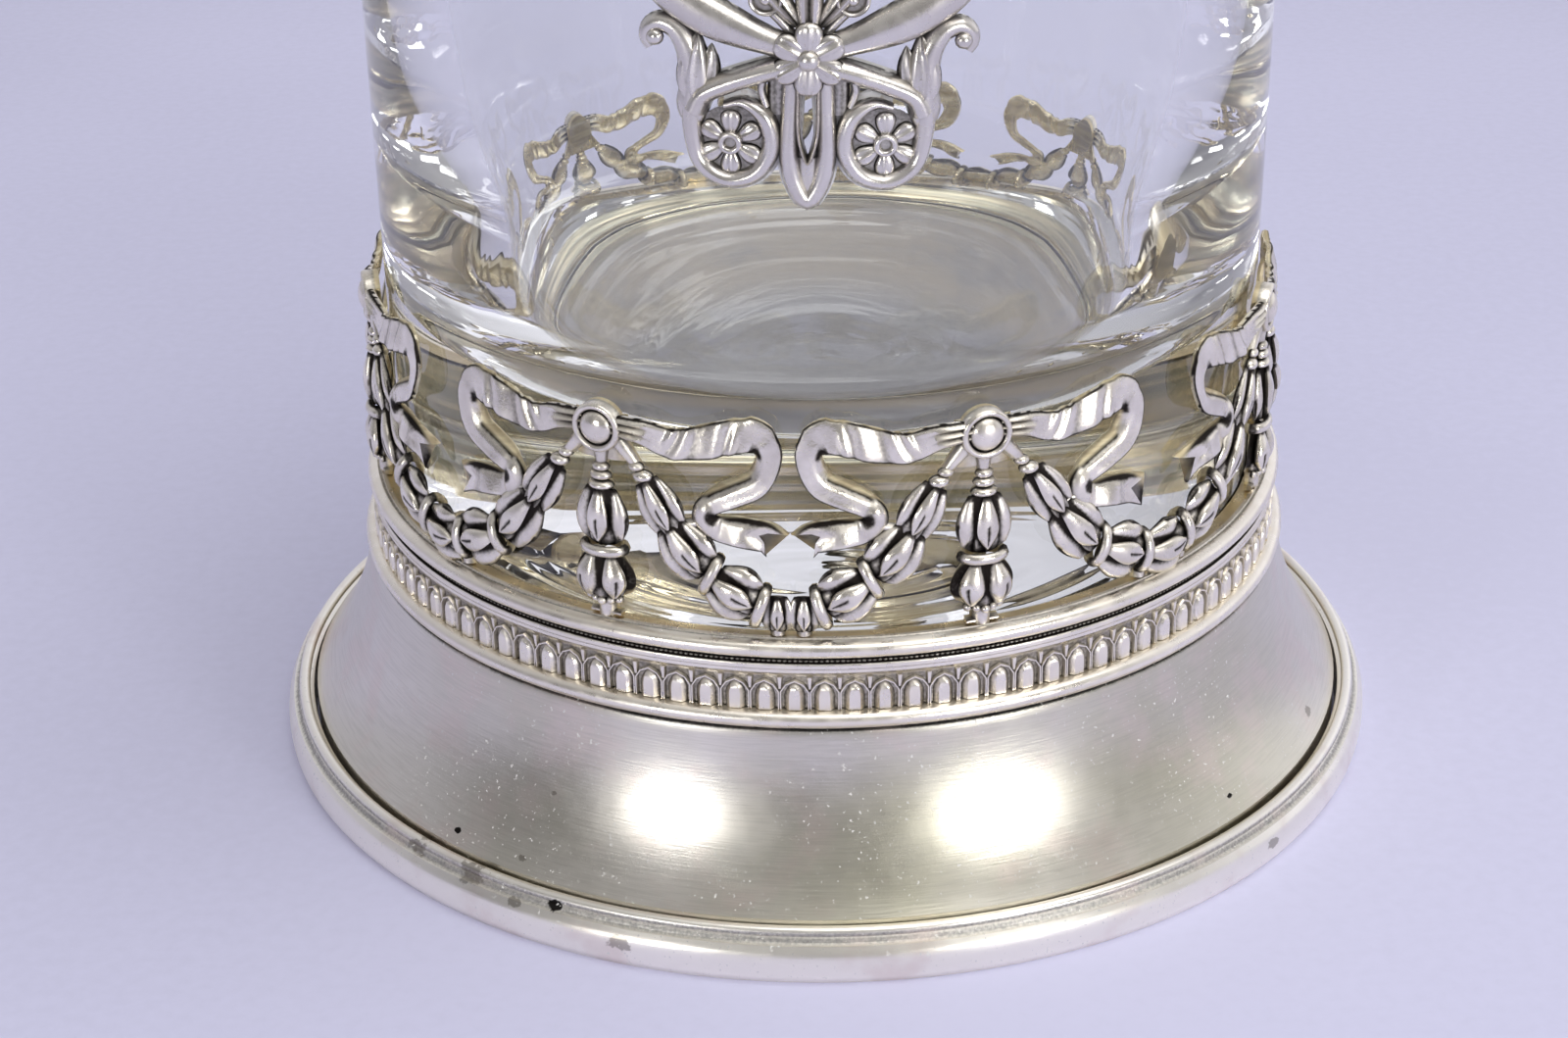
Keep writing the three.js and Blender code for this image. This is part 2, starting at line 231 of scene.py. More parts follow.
class Crown(Enum):
    """How the face of a band is worked across its width."""

    ROUND = "round"
    REEDED = "reeded"
    LEAF = "leaf"
    PETAL = "petal"

    def height(self, across: float) -> float:
        """Height of the face, 0 to 1, at a place from -1 to 1 across it."""
        dome = math.sqrt(max(0.0, 1 - across * across))
        if self is Crown.PETAL:
            return dome * (0.87 + 0.13 * math.cos(3 * math.pi * across))
        if self is Crown.REEDED:
            return dome * (0.88 + 0.12 * math.cos(4 * math.pi * across))
        if self is Crown.LEAF:
            return dome * (1 - 0.42 * math.exp(-((across / 0.17) ** 2)))
        return dome

    def shade(self, across: float) -> float:
        """Blackening of the face, 0 to 1, at a place from -1 to 1 across it: painted shade along
        its edges, and blackening in its grooves.
        """
        # Painted shade along both edges, where the face meets its bed.
        edge = 0.75 * abs(across) ** 6
        if self is Crown.PETAL:
            return edge + 0.4 * (0.5 - 0.5 * math.cos(3 * math.pi * across)) ** 3
        if self is Crown.REEDED:
            return edge + 0.25 * (0.5 - 0.5 * math.cos(4 * math.pi * across)) ** 3
        if self is Crown.LEAF:
            return edge + 0.75 * math.exp(-((across / 0.13) ** 2))
        return edge


@dataclass(frozen=True)
class Band:
    """A strip of worked metal that lies on a bed.

    Attributes:
        width: Full width.
        rise: Height of its crown over the bed.
        bed: Depth of its back.
        crown: How its face is worked.
        taper: How its width runs.
        dark: Blackening added to its face.
        back: Blackening of its back.
        steps: Facets along it.
        around: Facets round its section.
    """

    width: float
    rise: float
    bed: float = 0.0
    crown: Crown = Crown.ROUND
    taper: Taper = Taper.EVEN
    dark: float = 0.0
    back: float = BACK_DARK
    steps: int = 24
    around: int = 20

    def section(self, u: float, v: float) -> Triple:
        """A point of the section.

        Args:
            u: Share of the length.
            v: Place round the section, -1 to 1, with the face from 0 to 1.

        Returns:
            Distance across, distance outwards and blackening.
        """
        share = self.taper.share(u)
        across = math.cos(math.pi * v)
        face = self.crown.height(across) if v > 0 else 0.0
        lift = self.rise * face * math.sqrt(share)
        shade = self.crown.shade(across) + self.dark if v >= 0 else self.back
        return self.width / 2 * share * across, self.bed + lift, min(1.0, shade)


class Shape:
    """Closed work in millimetres, which is added to, laid round the axis and made a mesh."""

    MERGE = 1e-4
    BALL_SIDES = 12
    BALL_RINGS = 8

    def __init__(self) -> None:
        """Starts with nothing."""
        self.mesh: BMesh = bmesh.new()
        self.mesh.verts.layers.float.new(PATINA_AND_SHADE)

    def pour(self, other: BMesh) -> None:
        """Adds another mesh as it is, and frees it."""
        holder = bpy.data.meshes.new("holder")
        other.to_mesh(holder)
        other.free()
        self.mesh.from_mesh(holder)
        bpy.data.meshes.remove(holder)

    def close(self, part: BMesh) -> None:
        """Merges a part's seams, fills its ends, turns its faces outwards and adds it."""
        bmesh.ops.remove_doubles(part, verts=part.verts, dist=self.MERGE)
        rims = [edge for edge in part.edges if edge.is_boundary]
        if rims:
            bmesh.ops.holes_fill(part, edges=rims, sides=0)
        bmesh.ops.recalc_face_normals(part, faces=part.faces)
        self.pour(part)

    def lay(self, steps: int, around: int, place: Callable[[float, float], Spot]) -> None:
        """Lays a grid over a form that a formula gives.

        Args:
            steps: Facets along the form.
            around: Facets round it.
            place: Gives x, y, z and blackening for u, 0 to 1, and v, -1 to 1.
        """
        part = bmesh.new()
        patina_and_shade = part.verts.layers.float.new(PATINA_AND_SHADE)
        bmesh.ops.create_grid(part, x_segments=steps, y_segments=around, size=1)
        for vert in part.verts:
            *spot, dark = place((vert.co.x + 1) / 2, vert.co.y)
            vert.co = spot
            vert[patina_and_shade] = dark
        self.close(part)

    def follow(self, line: Line, section: Section, steps: int, around: int) -> None:
        """Runs a closed section along a line of flat work.

        Args:
            line: The line.
            section: Gives distance across, distance outwards and blackening for u and v.
            steps: Facets along the line.
            around: Facets round the section.
        """

        def place(u: float, v: float) -> Spot:
            """A point of the swept form."""
            across, out, dark = section(u, v)
            return *line.beside(u, across), out, dark

        self.lay(steps, around, place)

    def strip(self, points: Sequence[Pair], band: Band) -> None:
        """Runs a band of worked metal along a line through the given points."""
        self.follow(Line(points), band.section, band.steps, band.around)

    def spin(self, rail: Sequence[Spot], middle: Triple, sides: int) -> None:
        """Turns a rail of points about the z direction.

        Args:
            rail: The points with their blackening; a closed rail repeats its first at its end.
            middle: A point of the axis.
            sides: Facets round it.
        """
        part = bmesh.new()
        patina_and_shade = part.verts.layers.float.new(PATINA_AND_SHADE)
        closed = rail[0] == rail[-1]
        verts = []
        for *spot, dark in rail[:-1] if closed else rail:
            vert = part.verts.new(spot)
            vert[patina_and_shade] = dark
            verts.append(vert)
        edges = [part.edges.new(pair) for pair in zip(verts, verts[1:])]
        if closed:
            edges.append(part.edges.new((verts[-1], verts[0])))
        bmesh.ops.spin(part, geom=verts + edges, cent=middle, axis=(0, 0, 1),
                       angle=math.tau, steps=sides, use_merge=True)
        self.close(part)

    def boss(self, centre: Pair, profile: Sequence[Triple], sides: int) -> None:
        """Turns a small boss about the outward direction.

        Args:
            centre: Its middle in the flat work.
            profile: Radius, distance outwards and blackening, from its back to its front.
            sides: Facets round it.
        """
        rail = [(centre[0] + radius, centre[1], out, dark) for radius, out, dark in profile]
        self.spin(rail, (*centre, 0), sides)

    def turn(self, profile: Sequence[Pair], sides: int = SIDES) -> None:
        """Turns a profile of radius and height about the axis.

        Args:
            profile: The points; a closed section repeats its first point at the end.
            sides: Facets round the axis.
        """
        self.spin([(radius, 0, z, 0) for radius, z in profile], (0, 0, 0), sides)

    def ball(self, centre: Triple, size: Triple) -> None:
        """Adds a bead of flat work, flattened as its three sizes say, with painted shade and
        blackening round its foot.
        """
        part = bmesh.new()
        patina_and_shade = part.verts.layers.float.new(PATINA_AND_SHADE)
        bmesh.ops.create_uvsphere(part, u_segments=self.BALL_SIDES, v_segments=self.BALL_RINGS,
                                  radius=1)
        bmesh.ops.scale(part, vec=size, verts=part.verts)
        bmesh.ops.translate(part, vec=centre, verts=part.verts)
        for vert in part.verts:
            out = (vert.co.z - centre[2]) / size[2]
            # Painted shade: a dark band round the bead's side, towards its bed.
            vert[patina_and_shade] = 0.85 * smooth(0.45, 0.1, out) * smooth(-0.7, -0.3, out)
        self.close(part)

    def stain(self, dark: Callable[[Vector], float]) -> None:
        """Sets the blackening and painted shade of every point by a formula of its place."""
        patina_and_shade = self.mesh.verts.layers.float[PATINA_AND_SHADE]
        for vert in self.mesh.verts:
            vert[patina_and_shade] = dark(vert.co)

    def copy(self) -> "Shape":
        """A copy that can be laid elsewhere."""
        twin = Shape()
        twin.mesh.free()
        twin.mesh = self.mesh.copy()
        return twin

    def mirror(self) -> "Shape":
        """Mirrors flat work in its upright middle line."""
        bmesh.ops.scale(self.mesh, vec=(-1, 1, 1), verts=self.mesh.verts)
        bmesh.ops.reverse_faces(self.mesh, faces=self.mesh.faces)
        return self

    def lean(self, pivot: Pair, degrees: float) -> "Shape":
        """Turns flat work in its plane about a pivot."""
        turn = Matrix.Rotation(math.radians(degrees), 3, "Z")
        bmesh.ops.rotate(self.mesh, cent=(*pivot, 0), matrix=turn, verts=self.mesh.verts)
        return self

    def wrap(self, degrees: float, radius_at: Callable[[float], float]) -> "Shape":
        """Lays flat work round the axis.

        Args:
            degrees: Angle of its middle line from the front, towards +X.
            radius_at: Radius of its bed at a height.

        Returns:
            The shape itself.
        """
        start = math.radians(degrees)
        for vert in self.mesh.verts:
            radius = radius_at(vert.co.y)
            turn = start + vert.co.x / radius
            out = radius + vert.co.z
            vert.co = (out * math.sin(turn), -out * math.cos(turn), vert.co.y)
        return self

    def add(self, other: "Shape") -> None:
        """Adds another shape and uses it up."""
        self.pour(other.mesh)


@dataclass(frozen=True)
class Place:
    """Where a finished piece belongs.

    Attributes:
        body: The moving body that it rides on.
        slot: The record's material slot; not used.
        nodes: The CAD nodes that it stands for.
    """

    body: str
    slot: str
    nodes: tuple[str, ...]


def finished(name: str, shape: Shape, material: Material, place: Place,
             crease: float = 38.0) -> Piece:
    """Makes a shape a piece of the object.

    Args:
        name: Name of the piece.
        shape: Its work, which is used up.
        material: Its finish.
        place: Where it belongs.
        crease: Angle in degrees past which an edge stays sharp.

    Returns:
        The piece.
    """
    bmesh.ops.scale(shape.mesh, vec=(MM, MM, MM), verts=shape.mesh.verts)
    mesh = bpy.data.meshes.new(name)
    shape.mesh.to_mesh(mesh)
    shape.mesh.free()
    mesh.shade_smooth()
    mesh.set_sharp_from_angle(angle=math.radians(crease))
    mesh.materials.append(material)
    piece = put(name, mesh)
    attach(piece, place.body)
    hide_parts(*place.nodes)
    log.info("%s: %d faces on %s", name, len(mesh.polygons), place.body)
    return piece


class Nodes:
    """A node tree, with short calls for the nodes used here."""

    MIX_SHARE, MIX_FIRST, MIX_SECOND, MIX_COLOUR = 0, 6, 7, 2  # sockets of a colour mix

    def __init__(self, tree: bpy.types.NodeTree) -> None:
        """Takes a tree to add to.

        Args:
            tree: The tree.
        """
        self.tree = tree

    def add(self, kind: str, inputs: dict | None = None, **settings: object) -> bpy.types.Node:
        """Adds a node.

        Args:
            kind: Its type, after ShaderNode.
            inputs: Values or sockets for its inputs, by name or number.
            settings: Its own properties.

        Returns:
            The node.
        """
        node = self.tree.nodes.new("ShaderNode" + kind)
        for key, value in settings.items():
            setattr(node, key, value)
        for key, value in (inputs or {}).items():
            self.feed(node.inputs[key], value)
        return node

    def feed(self, socket: Socket, value: object) -> None:
        """Links a socket to an input, or sets the input's value."""
        if isinstance(value, Socket):
            self.tree.links.new(value, socket)
        else:
            socket.default_value = value

    def mix(self, share: object, first: object, second: object, blend: str = "MIX") -> Socket:
        """Mixes two colours."""
        inputs = {self.MIX_SHARE: share, self.MIX_FIRST: first, self.MIX_SECOND: second}
        node = self.add("Mix", inputs, data_type="RGBA", blend_type=blend)
        return node.outputs[self.MIX_COLOUR]


class Graph(Nodes):
    """The node tree of a material, whose noises and depths are in millimetres."""

    LENGTHS = ("LENGTH", "DISTANCE")
    SPOT_SQUEEZE = (1, 1, 1.7)  # a spot is wider than tall
    SPOT_GRAIN = 1 / 0.65
    SPOT_WANDER = 1.3  # how far a spot's edge wanders either way, for its radius
    SPOT_CORE = 0.7  # share of its radius that is quite dark

    def __init__(self, name: str) -> None:
        """Starts a material with its shader and output.

        Args:
            name: Name of the material.
        """
        self.material = bpy.data.materials.new(name)
        self.material.use_nodes = True
        super().__init__(self.material.node_tree)
        self.tree.nodes.clear()
        self.shader = self.add("BsdfPrincipled")
        self.add("OutputMaterial", {"Surface": self.shader.outputs[0]})
        self.coordinates = self.add("TexCoord").outputs["Object"]

    def set(self, **values: object) -> None:
        """Sets or links the shader's inputs, with underscores for spaces in their names."""
        for key, value in values.items():
            self.feed(self.shader.inputs[key.replace("_", " ")], value)

    def colour(self) -> Socket:
        """What the shader's colour is linked to so far."""
        return self.shader.inputs["Base Color"].links[0].from_socket

    def noise(self, size: float, detail: float = 3.0, stretch: Triple = (1, 1, 1),
              roughness: float = 0.55) -> Socket:
        """Cloudy noise on the object's own coordinates, from 0 to 1.

        Args:
            size: Size of its clouds.
            detail: Octaves of finer noise in it.
            stretch: How much finer it is along each axis.
            roughness: Strength of the finer noise.

        Returns:
            Its value.
        """
        place = self.add("Mapping", {"Vector": self.coordinates, "Scale": stretch}).outputs[0]
        inputs = {"Vector": place, "Scale": 1 / (size * MM), "Detail": detail,
                  "Roughness": roughness}
        return self.add("TexNoise", inputs).outputs[0]

    def ramp(self, value: object, low: float, high: float, to_low: float = 0.0,
             to_high: float = 1.0) -> Socket:
        """Maps the range from low to high to another, clamped and eased."""
        inputs = {"Value": value, "From Min": low, "From Max": high, "To Min": to_low,
                  "To Max": to_high}
        return self.add("MapRange", inputs, interpolation_type="SMOOTHSTEP").outputs[0]

    def math(self, operation: str, first: object, second: object, third: object = 0.0) -> Socket:
        """One sum on two values, or on three."""
        return self.add("Math", {0: first, 1: second, 2: third}, operation=operation).outputs[0]

    def vector(self, operation: str, first: object, second: object = (0, 0, 0)) -> Socket:
        """One sum on vectors, which gives a vector, or a value where it is a length."""
        node = self.add("VectorMath", {0: first, 1: second}, operation=operation)
        return node.outputs["Value" if operation in self.LENGTHS else "Vector"]

    def bump(self, height: Socket, depth: float, strength: float = 1.0) -> Socket:
        """A surface roughened by a height."""
        inputs = {"Height": height, "Distance": depth * MM, "Strength": strength}
        return self.add("Bump", inputs).outputs[0]

    def patina_and_shade(self) -> Socket:
        """The blackening and painted shade that the mesh carries."""
        return self.add("Attribute", attribute_name=PATINA_AND_SHADE).outputs["Fac"]

    def near(self, point: Triple, radius: float) -> Socket:
        """A ragged spot, 1 inside a radius round a point and 0 outside."""
        centre = tuple(Vector(point) * Vector(self.SPOT_SQUEEZE) * MM)
        place = self.vector("MULTIPLY", self.coordinates, self.SPOT_SQUEEZE)
        gap = self.vector("DISTANCE", place, centre)
        wander = self.SPOT_WANDER * radius * MM
        grain = self.noise(self.SPOT_GRAIN, 3, roughness=0.7)
        ragged = self.math("MULTIPLY_ADD", grain, 2 * wander, -wander)
        return self.ramp(self.math("ADD", gap, ragged), radius * MM, self.SPOT_CORE * radius * MM)


@dataclass(frozen=True)
class SilverPlate:
    """Silver plate, worn bright, with tarnish on the open faces and black in the hollows, partly
    patina and partly painted shade.

    Attributes:
        name: Name of the material.
        bright: Colour of the worn plate.
        tarnish: Colour of the tarnish film.
        tarnish_share: How much of the open face is filmed over, 0 to 1.
        polish: Roughness of the worn plate.
        black: Colour of the hollows, both patina and painted shade.
        cloud: Size of the tarnish clouds, in millimetres.
        grain: Depth of the surface's fine marks, in millimetres.
        nook: Width of the corners that get painted shade and blackening, in millimetres.
        nook_shade_and_patina: How black such a corner gets from painted shade and patina, 0 to 1.
        nook_open: Share of open sky, 0 to 1, below which a place counts as a corner.
        uneven: How much the polish varies, as a share of it.
        fading: How much thinner the tarnish is towards the left and right, 0 to 1.
    """

    name: str
    bright: Colour
    tarnish: Colour
    tarnish_share: float
    polish: float
    black: Colour = (0.028, 0.023, 0.02, 1)
    cloud: float = 14.0
    grain: float = 0.012
    nook: float = 1.4
    nook_shade_and_patina: float = 0.92
    nook_open: float = 0.85
    uneven: float = 0.45
    fading: float = 0.0

    FINE = 0.3  # size of the fine marks
    WORN = 2.2  # roughness that the blackening and painted shade add
    DULL = 0.35  # roughness that dirt adds
    THIN_SIDES = ((54, 36), (-46, -20))  # x where the tarnish is thinnest and where it is whole

    def graph(self) -> Graph:
        """The material's node tree, for finishes that add to it."""
        g = Graph(self.name)
        clouds = g.noise(self.cloud, 6)
        film = g.math("MULTIPLY", g.ramp(clouds, 0.25, 0.75), min(1.0, 1.6 * self.tarnish_share))
        if self.fading:
            across = g.add("SeparateXYZ", {0: g.coordinates}).outputs["X"]
            for thinnest, whole in self.THIN_SIDES:
                left = g.ramp(across, thinnest * MM, whole * MM, 1 - self.fading, 1.0)
                film = g.math("MULTIPLY", film, left)
        fine = g.noise(self.FINE, 4)
        plate = g.mix(film, self.bright, self.tarnish)
        # The mesh carries blackening in the hollows and painted shade, given a ragged edge by fine
        # noise.
        hollow = g.patina_and_shade()
        ragged = g.math("ADD", hollow, g.ramp(fine, 0.2, 0.8, -0.1, 0.1))
        blackening_and_shade = g.math("MULTIPLY", g.ramp(ragged, 0.12, 0.9), g.ramp(hollow, 0.02, 0.2))
        # Painted shade: ambient occlusion darkens corners and the places where parts meet, along
        # with their patina.
        corner = g.add("AmbientOcclusion", {"Distance": self.nook * MM}, samples=6, only_local=True)
        corner_shade = g.ramp(corner.outputs["AO"], self.nook_open, 0.3, 0.0, self.nook_shade_and_patina)
        blackening_and_shade = g.math("MAXIMUM", blackening_and_shade, corner_shade)
        spread = self.polish * self.uneven
        smoothest, roughest = self.polish - spread / 2, self.polish + spread
        worn = g.ramp(g.noise(self.WORN, 4), 0.3, 0.75, smoothest, roughest)
        rough = g.math("MULTIPLY_ADD", blackening_and_shade, self.DULL, worn)
        g.set(Base_Color=g.mix(blackening_and_shade, plate, self.black), Metallic=1.0, Roughness=rough,
              Normal=g.bump(fine, self.grain))
        return g

    def material(self) -> Material:
        """The finished material."""
        return self.graph().material


@dataclass(frozen=True)
class LinedPlate(SilverPlate):
    """Silver plate with a streaky yellow film on the faces nearest to the glass.

    Attributes:
        lining: Colour of that film.
        streak: Colour of the dark streaks in it.
        lining_radius: Radius inside which it lies, in millimetres.
    """

    lining: Colour = field(kw_only=True)
    streak: Colour = field(kw_only=True)
    lining_radius: float = field(kw_only=True)

    SOFT = 0.15  # half the width of the film's edge
    SHOW = 0.9  # how much of the plate the film hides

    def material(self) -> Material:
        """The finished material."""
        g = self.graph()
        radius = g.vector("LENGTH", g.vector("MULTIPLY", g.coordinates, (1, 1, 0)))
        outer, inner = (self.lining_radius + side * self.SOFT for side in (1, -1))
        inside = g.ramp(radius, outer * MM, inner * MM)
        streaks = g.ramp(g.noise(0.7, 3, (0.06, 0.06, 1)), 0.4, 0.62)
        film = g.mix(streaks, self.streak, self.lining)
        g.set(Base_Color=g.mix(g.math("MULTIPLY", inside, self.SHOW), g.colour(), film))
        return g.material


@dataclass(frozen=True)
class ClearGlass:
    """Thick clear glass, faintly wavy, with bloom, rubbed lines and a yellow film inside the ring.

    Attributes:
        tint: Colour of the glass.
        index: Refractive index.
        wave: Height of the wave in the surface, in millimetres.
        film: Colour of the film.
        streak: Colour of the dark streaks in it.
        film_span: Heights between which it lies, in millimetres.
    """

    tint: Colour = (0.985, 0.992, 0.985, 1)
    index: float = 1.5
    wave: float = 0.035
    film: Colour = (0.80, 0.72, 0.53, 1)
    streak: Colour = (0.46, 0.45, 0.36, 1)
    film_span: Pair = (21.3, 28.4)

    def material(self) -> Material:
        """The finished material."""
        g = Graph("clear_glass")
        waves = g.noise(17, 1.5)
        bloom = g.ramp(g.noise(6, 4), 0.5, 0.8, 0.0, 0.03)
        lines = g.noise(1.4, 2, (1, 9, 9))
        scratches = g.ramp(lines, 0.735, 0.76, 0.0, 0.06)
        height = g.add("SeparateXYZ", {0: g.coordinates}).outputs["Z"]
        foot, top = (z * MM for z in self.film_span)
        filmed = g.math("MULTIPLY", g.ramp(height, foot - 0.1 * MM, foot + 0.1 * MM),
                        g.ramp(height, top + 0.2 * MM, top - 0.2 * MM))
        streaks = g.ramp(g.noise(0.9, 3, (0.05, 0.05, 1)), 0.42, 0.6)
        film = g.mix(streaks, self.streak, self.film)
        rough = g.math("MULTIPLY_ADD", filmed, 0.12, g.math("ADD", bloom, scratches))
        g.set(Base_Color=g.mix(filmed, self.tint, film), Metallic=filmed, Transmission_Weight=1.0,
              IOR=self.index, Roughness=rough, Normal=g.bump(waves, self.wave))
        return g.material


@dataclass(frozen=True)
class Felt:
    """Grey wool felt with matted fibres, stained along its edge, most of all at the back.

    Attributes:
        pale: Colour of the fibres on top.
        deep: Colour between them.
        stain: Colour of the edge.
        clean_radius: Radius of the clean part, in millimetres.
        clean_shift: How far forward the clean part lies, in millimetres.
        soft: Width of the stain's inner edge, in millimetres.
    """

    pale: Colour = (0.71, 0.685, 0.695, 1)
    deep: Colour = (0.52, 0.50, 0.51, 1)
    stain: Colour = (0.86, 0.74, 0.58, 1)
    clean_radius: float = 30.0
    clean_shift: float = 9.0
    soft: float = 6.0

    def material(self) -> Material:
        """The finished material."""
        g = Graph("grey_felt")
        fibres = g.noise(0.5, 5, (1, 3, 1), 0.7)
        patches = g.noise(12, 3)
        mat = g.math("ADD", g.math("MULTIPLY", fibres, 0.5), g.math("MULTIPLY", patches, 0.5))
        wool = g.mix(g.ramp(mat, 0.35, 0.65), self.deep, self.pale)
        middle = (0, -self.clean_shift * MM, 0)
        out = g.vector("DISTANCE", g.coordinates, middle)
        soiled = g.ramp(out, self.clean_radius * MM, (self.clean_radius + self.soft) * MM)
        edge = g.math("MULTIPLY", soiled, g.ramp(patches, 0.1, 0.55))
        g.set(Base_Color=g.mix(edge, wool, self.stain), Roughness=0.95,
              Sheen_Weight=0.2, Normal=g.bump(fibres, 0.08))
        return g.material


@dataclass(frozen=True)
class Plaster:
    """White cement that has yellowed and crumbled a little.

    Attributes:
        fresh: Colour of clean cement.
        aged: Colour of stained cement.
    """

    fresh: Colour = (0.82, 0.81, 0.79, 1)
    aged: Colour = (0.55, 0.50, 0.42, 1)

    def material(self) -> Material:
        """The finished material."""
        g = Graph("white_cement")
        crumbs = g.noise(0.6, 5)
        g.set(Base_Color=g.mix(g.ramp(crumbs, 0.5, 0.8), self.fresh, self.aged), Roughness=0.85,
              Normal=g.bump(crumbs, 0.08))
        return g.material


@dataclass(frozen=True)
class FootPlate(SilverPlate):
    """The foot's plate: olive tarnish, reddish patches, brushed rings, dust and a few black spots.

    Attributes:
        brown: Colour of the brown stains.
        pitch: Colour of the black spots.
        blush: Colour of the reddish patches.
        brushed: Colour of the brushed lines.
        brush: How much they show, 0 to 1.
        dust: Colour of the dust.
        spots: Middle and radius of each black spot, in millimetres.
        stains: The same for brown stains.
    """

    bright: Colour = (0.82, 0.78, 0.71, 1)
    tarnish: Colour = (0.62, 0.595, 0.46, 1)
    tarnish_share: float = 0.62
    polish: float = 0.29
    black: Colour = (0.10, 0.098, 0.095, 1)
    cloud: float = 26.0
    uneven: float = 0.1
    fading: float = 0.75
    brown: Colour = (0.20, 0.17, 0.13, 1)
    pitch: Colour = (0.02, 0.018, 0.016, 1)
    blush: Colour = (0.80, 0.68, 0.61, 1)
    brushed: Colour = (0.42, 0.41, 0.34, 1)
    brush: float = 0.17
    dust: Colour = (0.78, 0.76, 0.70, 1)
    spots: tuple[Spot, ...] = (
        (-24.5, -48.0, 4.2, 0.8), (37.6, -34.0, 6.4, 0.55), (-34.0, -38.1, 5.9, 0.4),
    )
    stains: tuple[Spot, ...] = (
        (-37.6, -38.3, 4.4, 1.5), (-32.0, -43.2, 4.3, 1.6), (-28.2, -46.6, 3.5, 0.7),
        (-18.6, -51.6, 2.5, 1.1), (41.7, -35.8, 2.3, 0.8), (-27.6, -43.0, 5.9, 0.5),
        (47.1, -18.6, 6.5, 0.8), (-24.6, -40.9, 11.5, 0.4),
    )

    STAIN_SHARE = 0.6

    def material(self) -> Material:
        """The finished material."""
        g = self.graph()
        rings = g.noise(0.16, 2, (0.04, 0.04, 1))
        colour = g.mix(g.ramp(g.noise(7, 4), 0.48, 0.68, 0.0, 0.5), g.colour(), self.blush)
        colour = g.mix(g.ramp(rings, 0.4, 0.68, 0.0, self.brush), colour, self.brushed)
        kinds = ((self.stains, self.brown, self.STAIN_SHARE), (self.spots, self.pitch, 1.0))
        for marks, tint, share in kinds:
            for *middle, radius in marks:
                colour = g.mix(g.math("MULTIPLY", g.near(middle, radius), share), colour, tint)
        grit = g.ramp(g.noise(0.36, 1), 0.68, 0.73)
        specks = g.math("MULTIPLY", grit, g.ramp(g.noise(8, 2), 0.35, 0.55))
        g.set(Base_Color=g.mix(specks, colour, self.dust),
              Metallic=g.math("SUBTRACT", 1.0, specks), Normal=g.bump(rings, 0.02, 0.5))
        return g.material


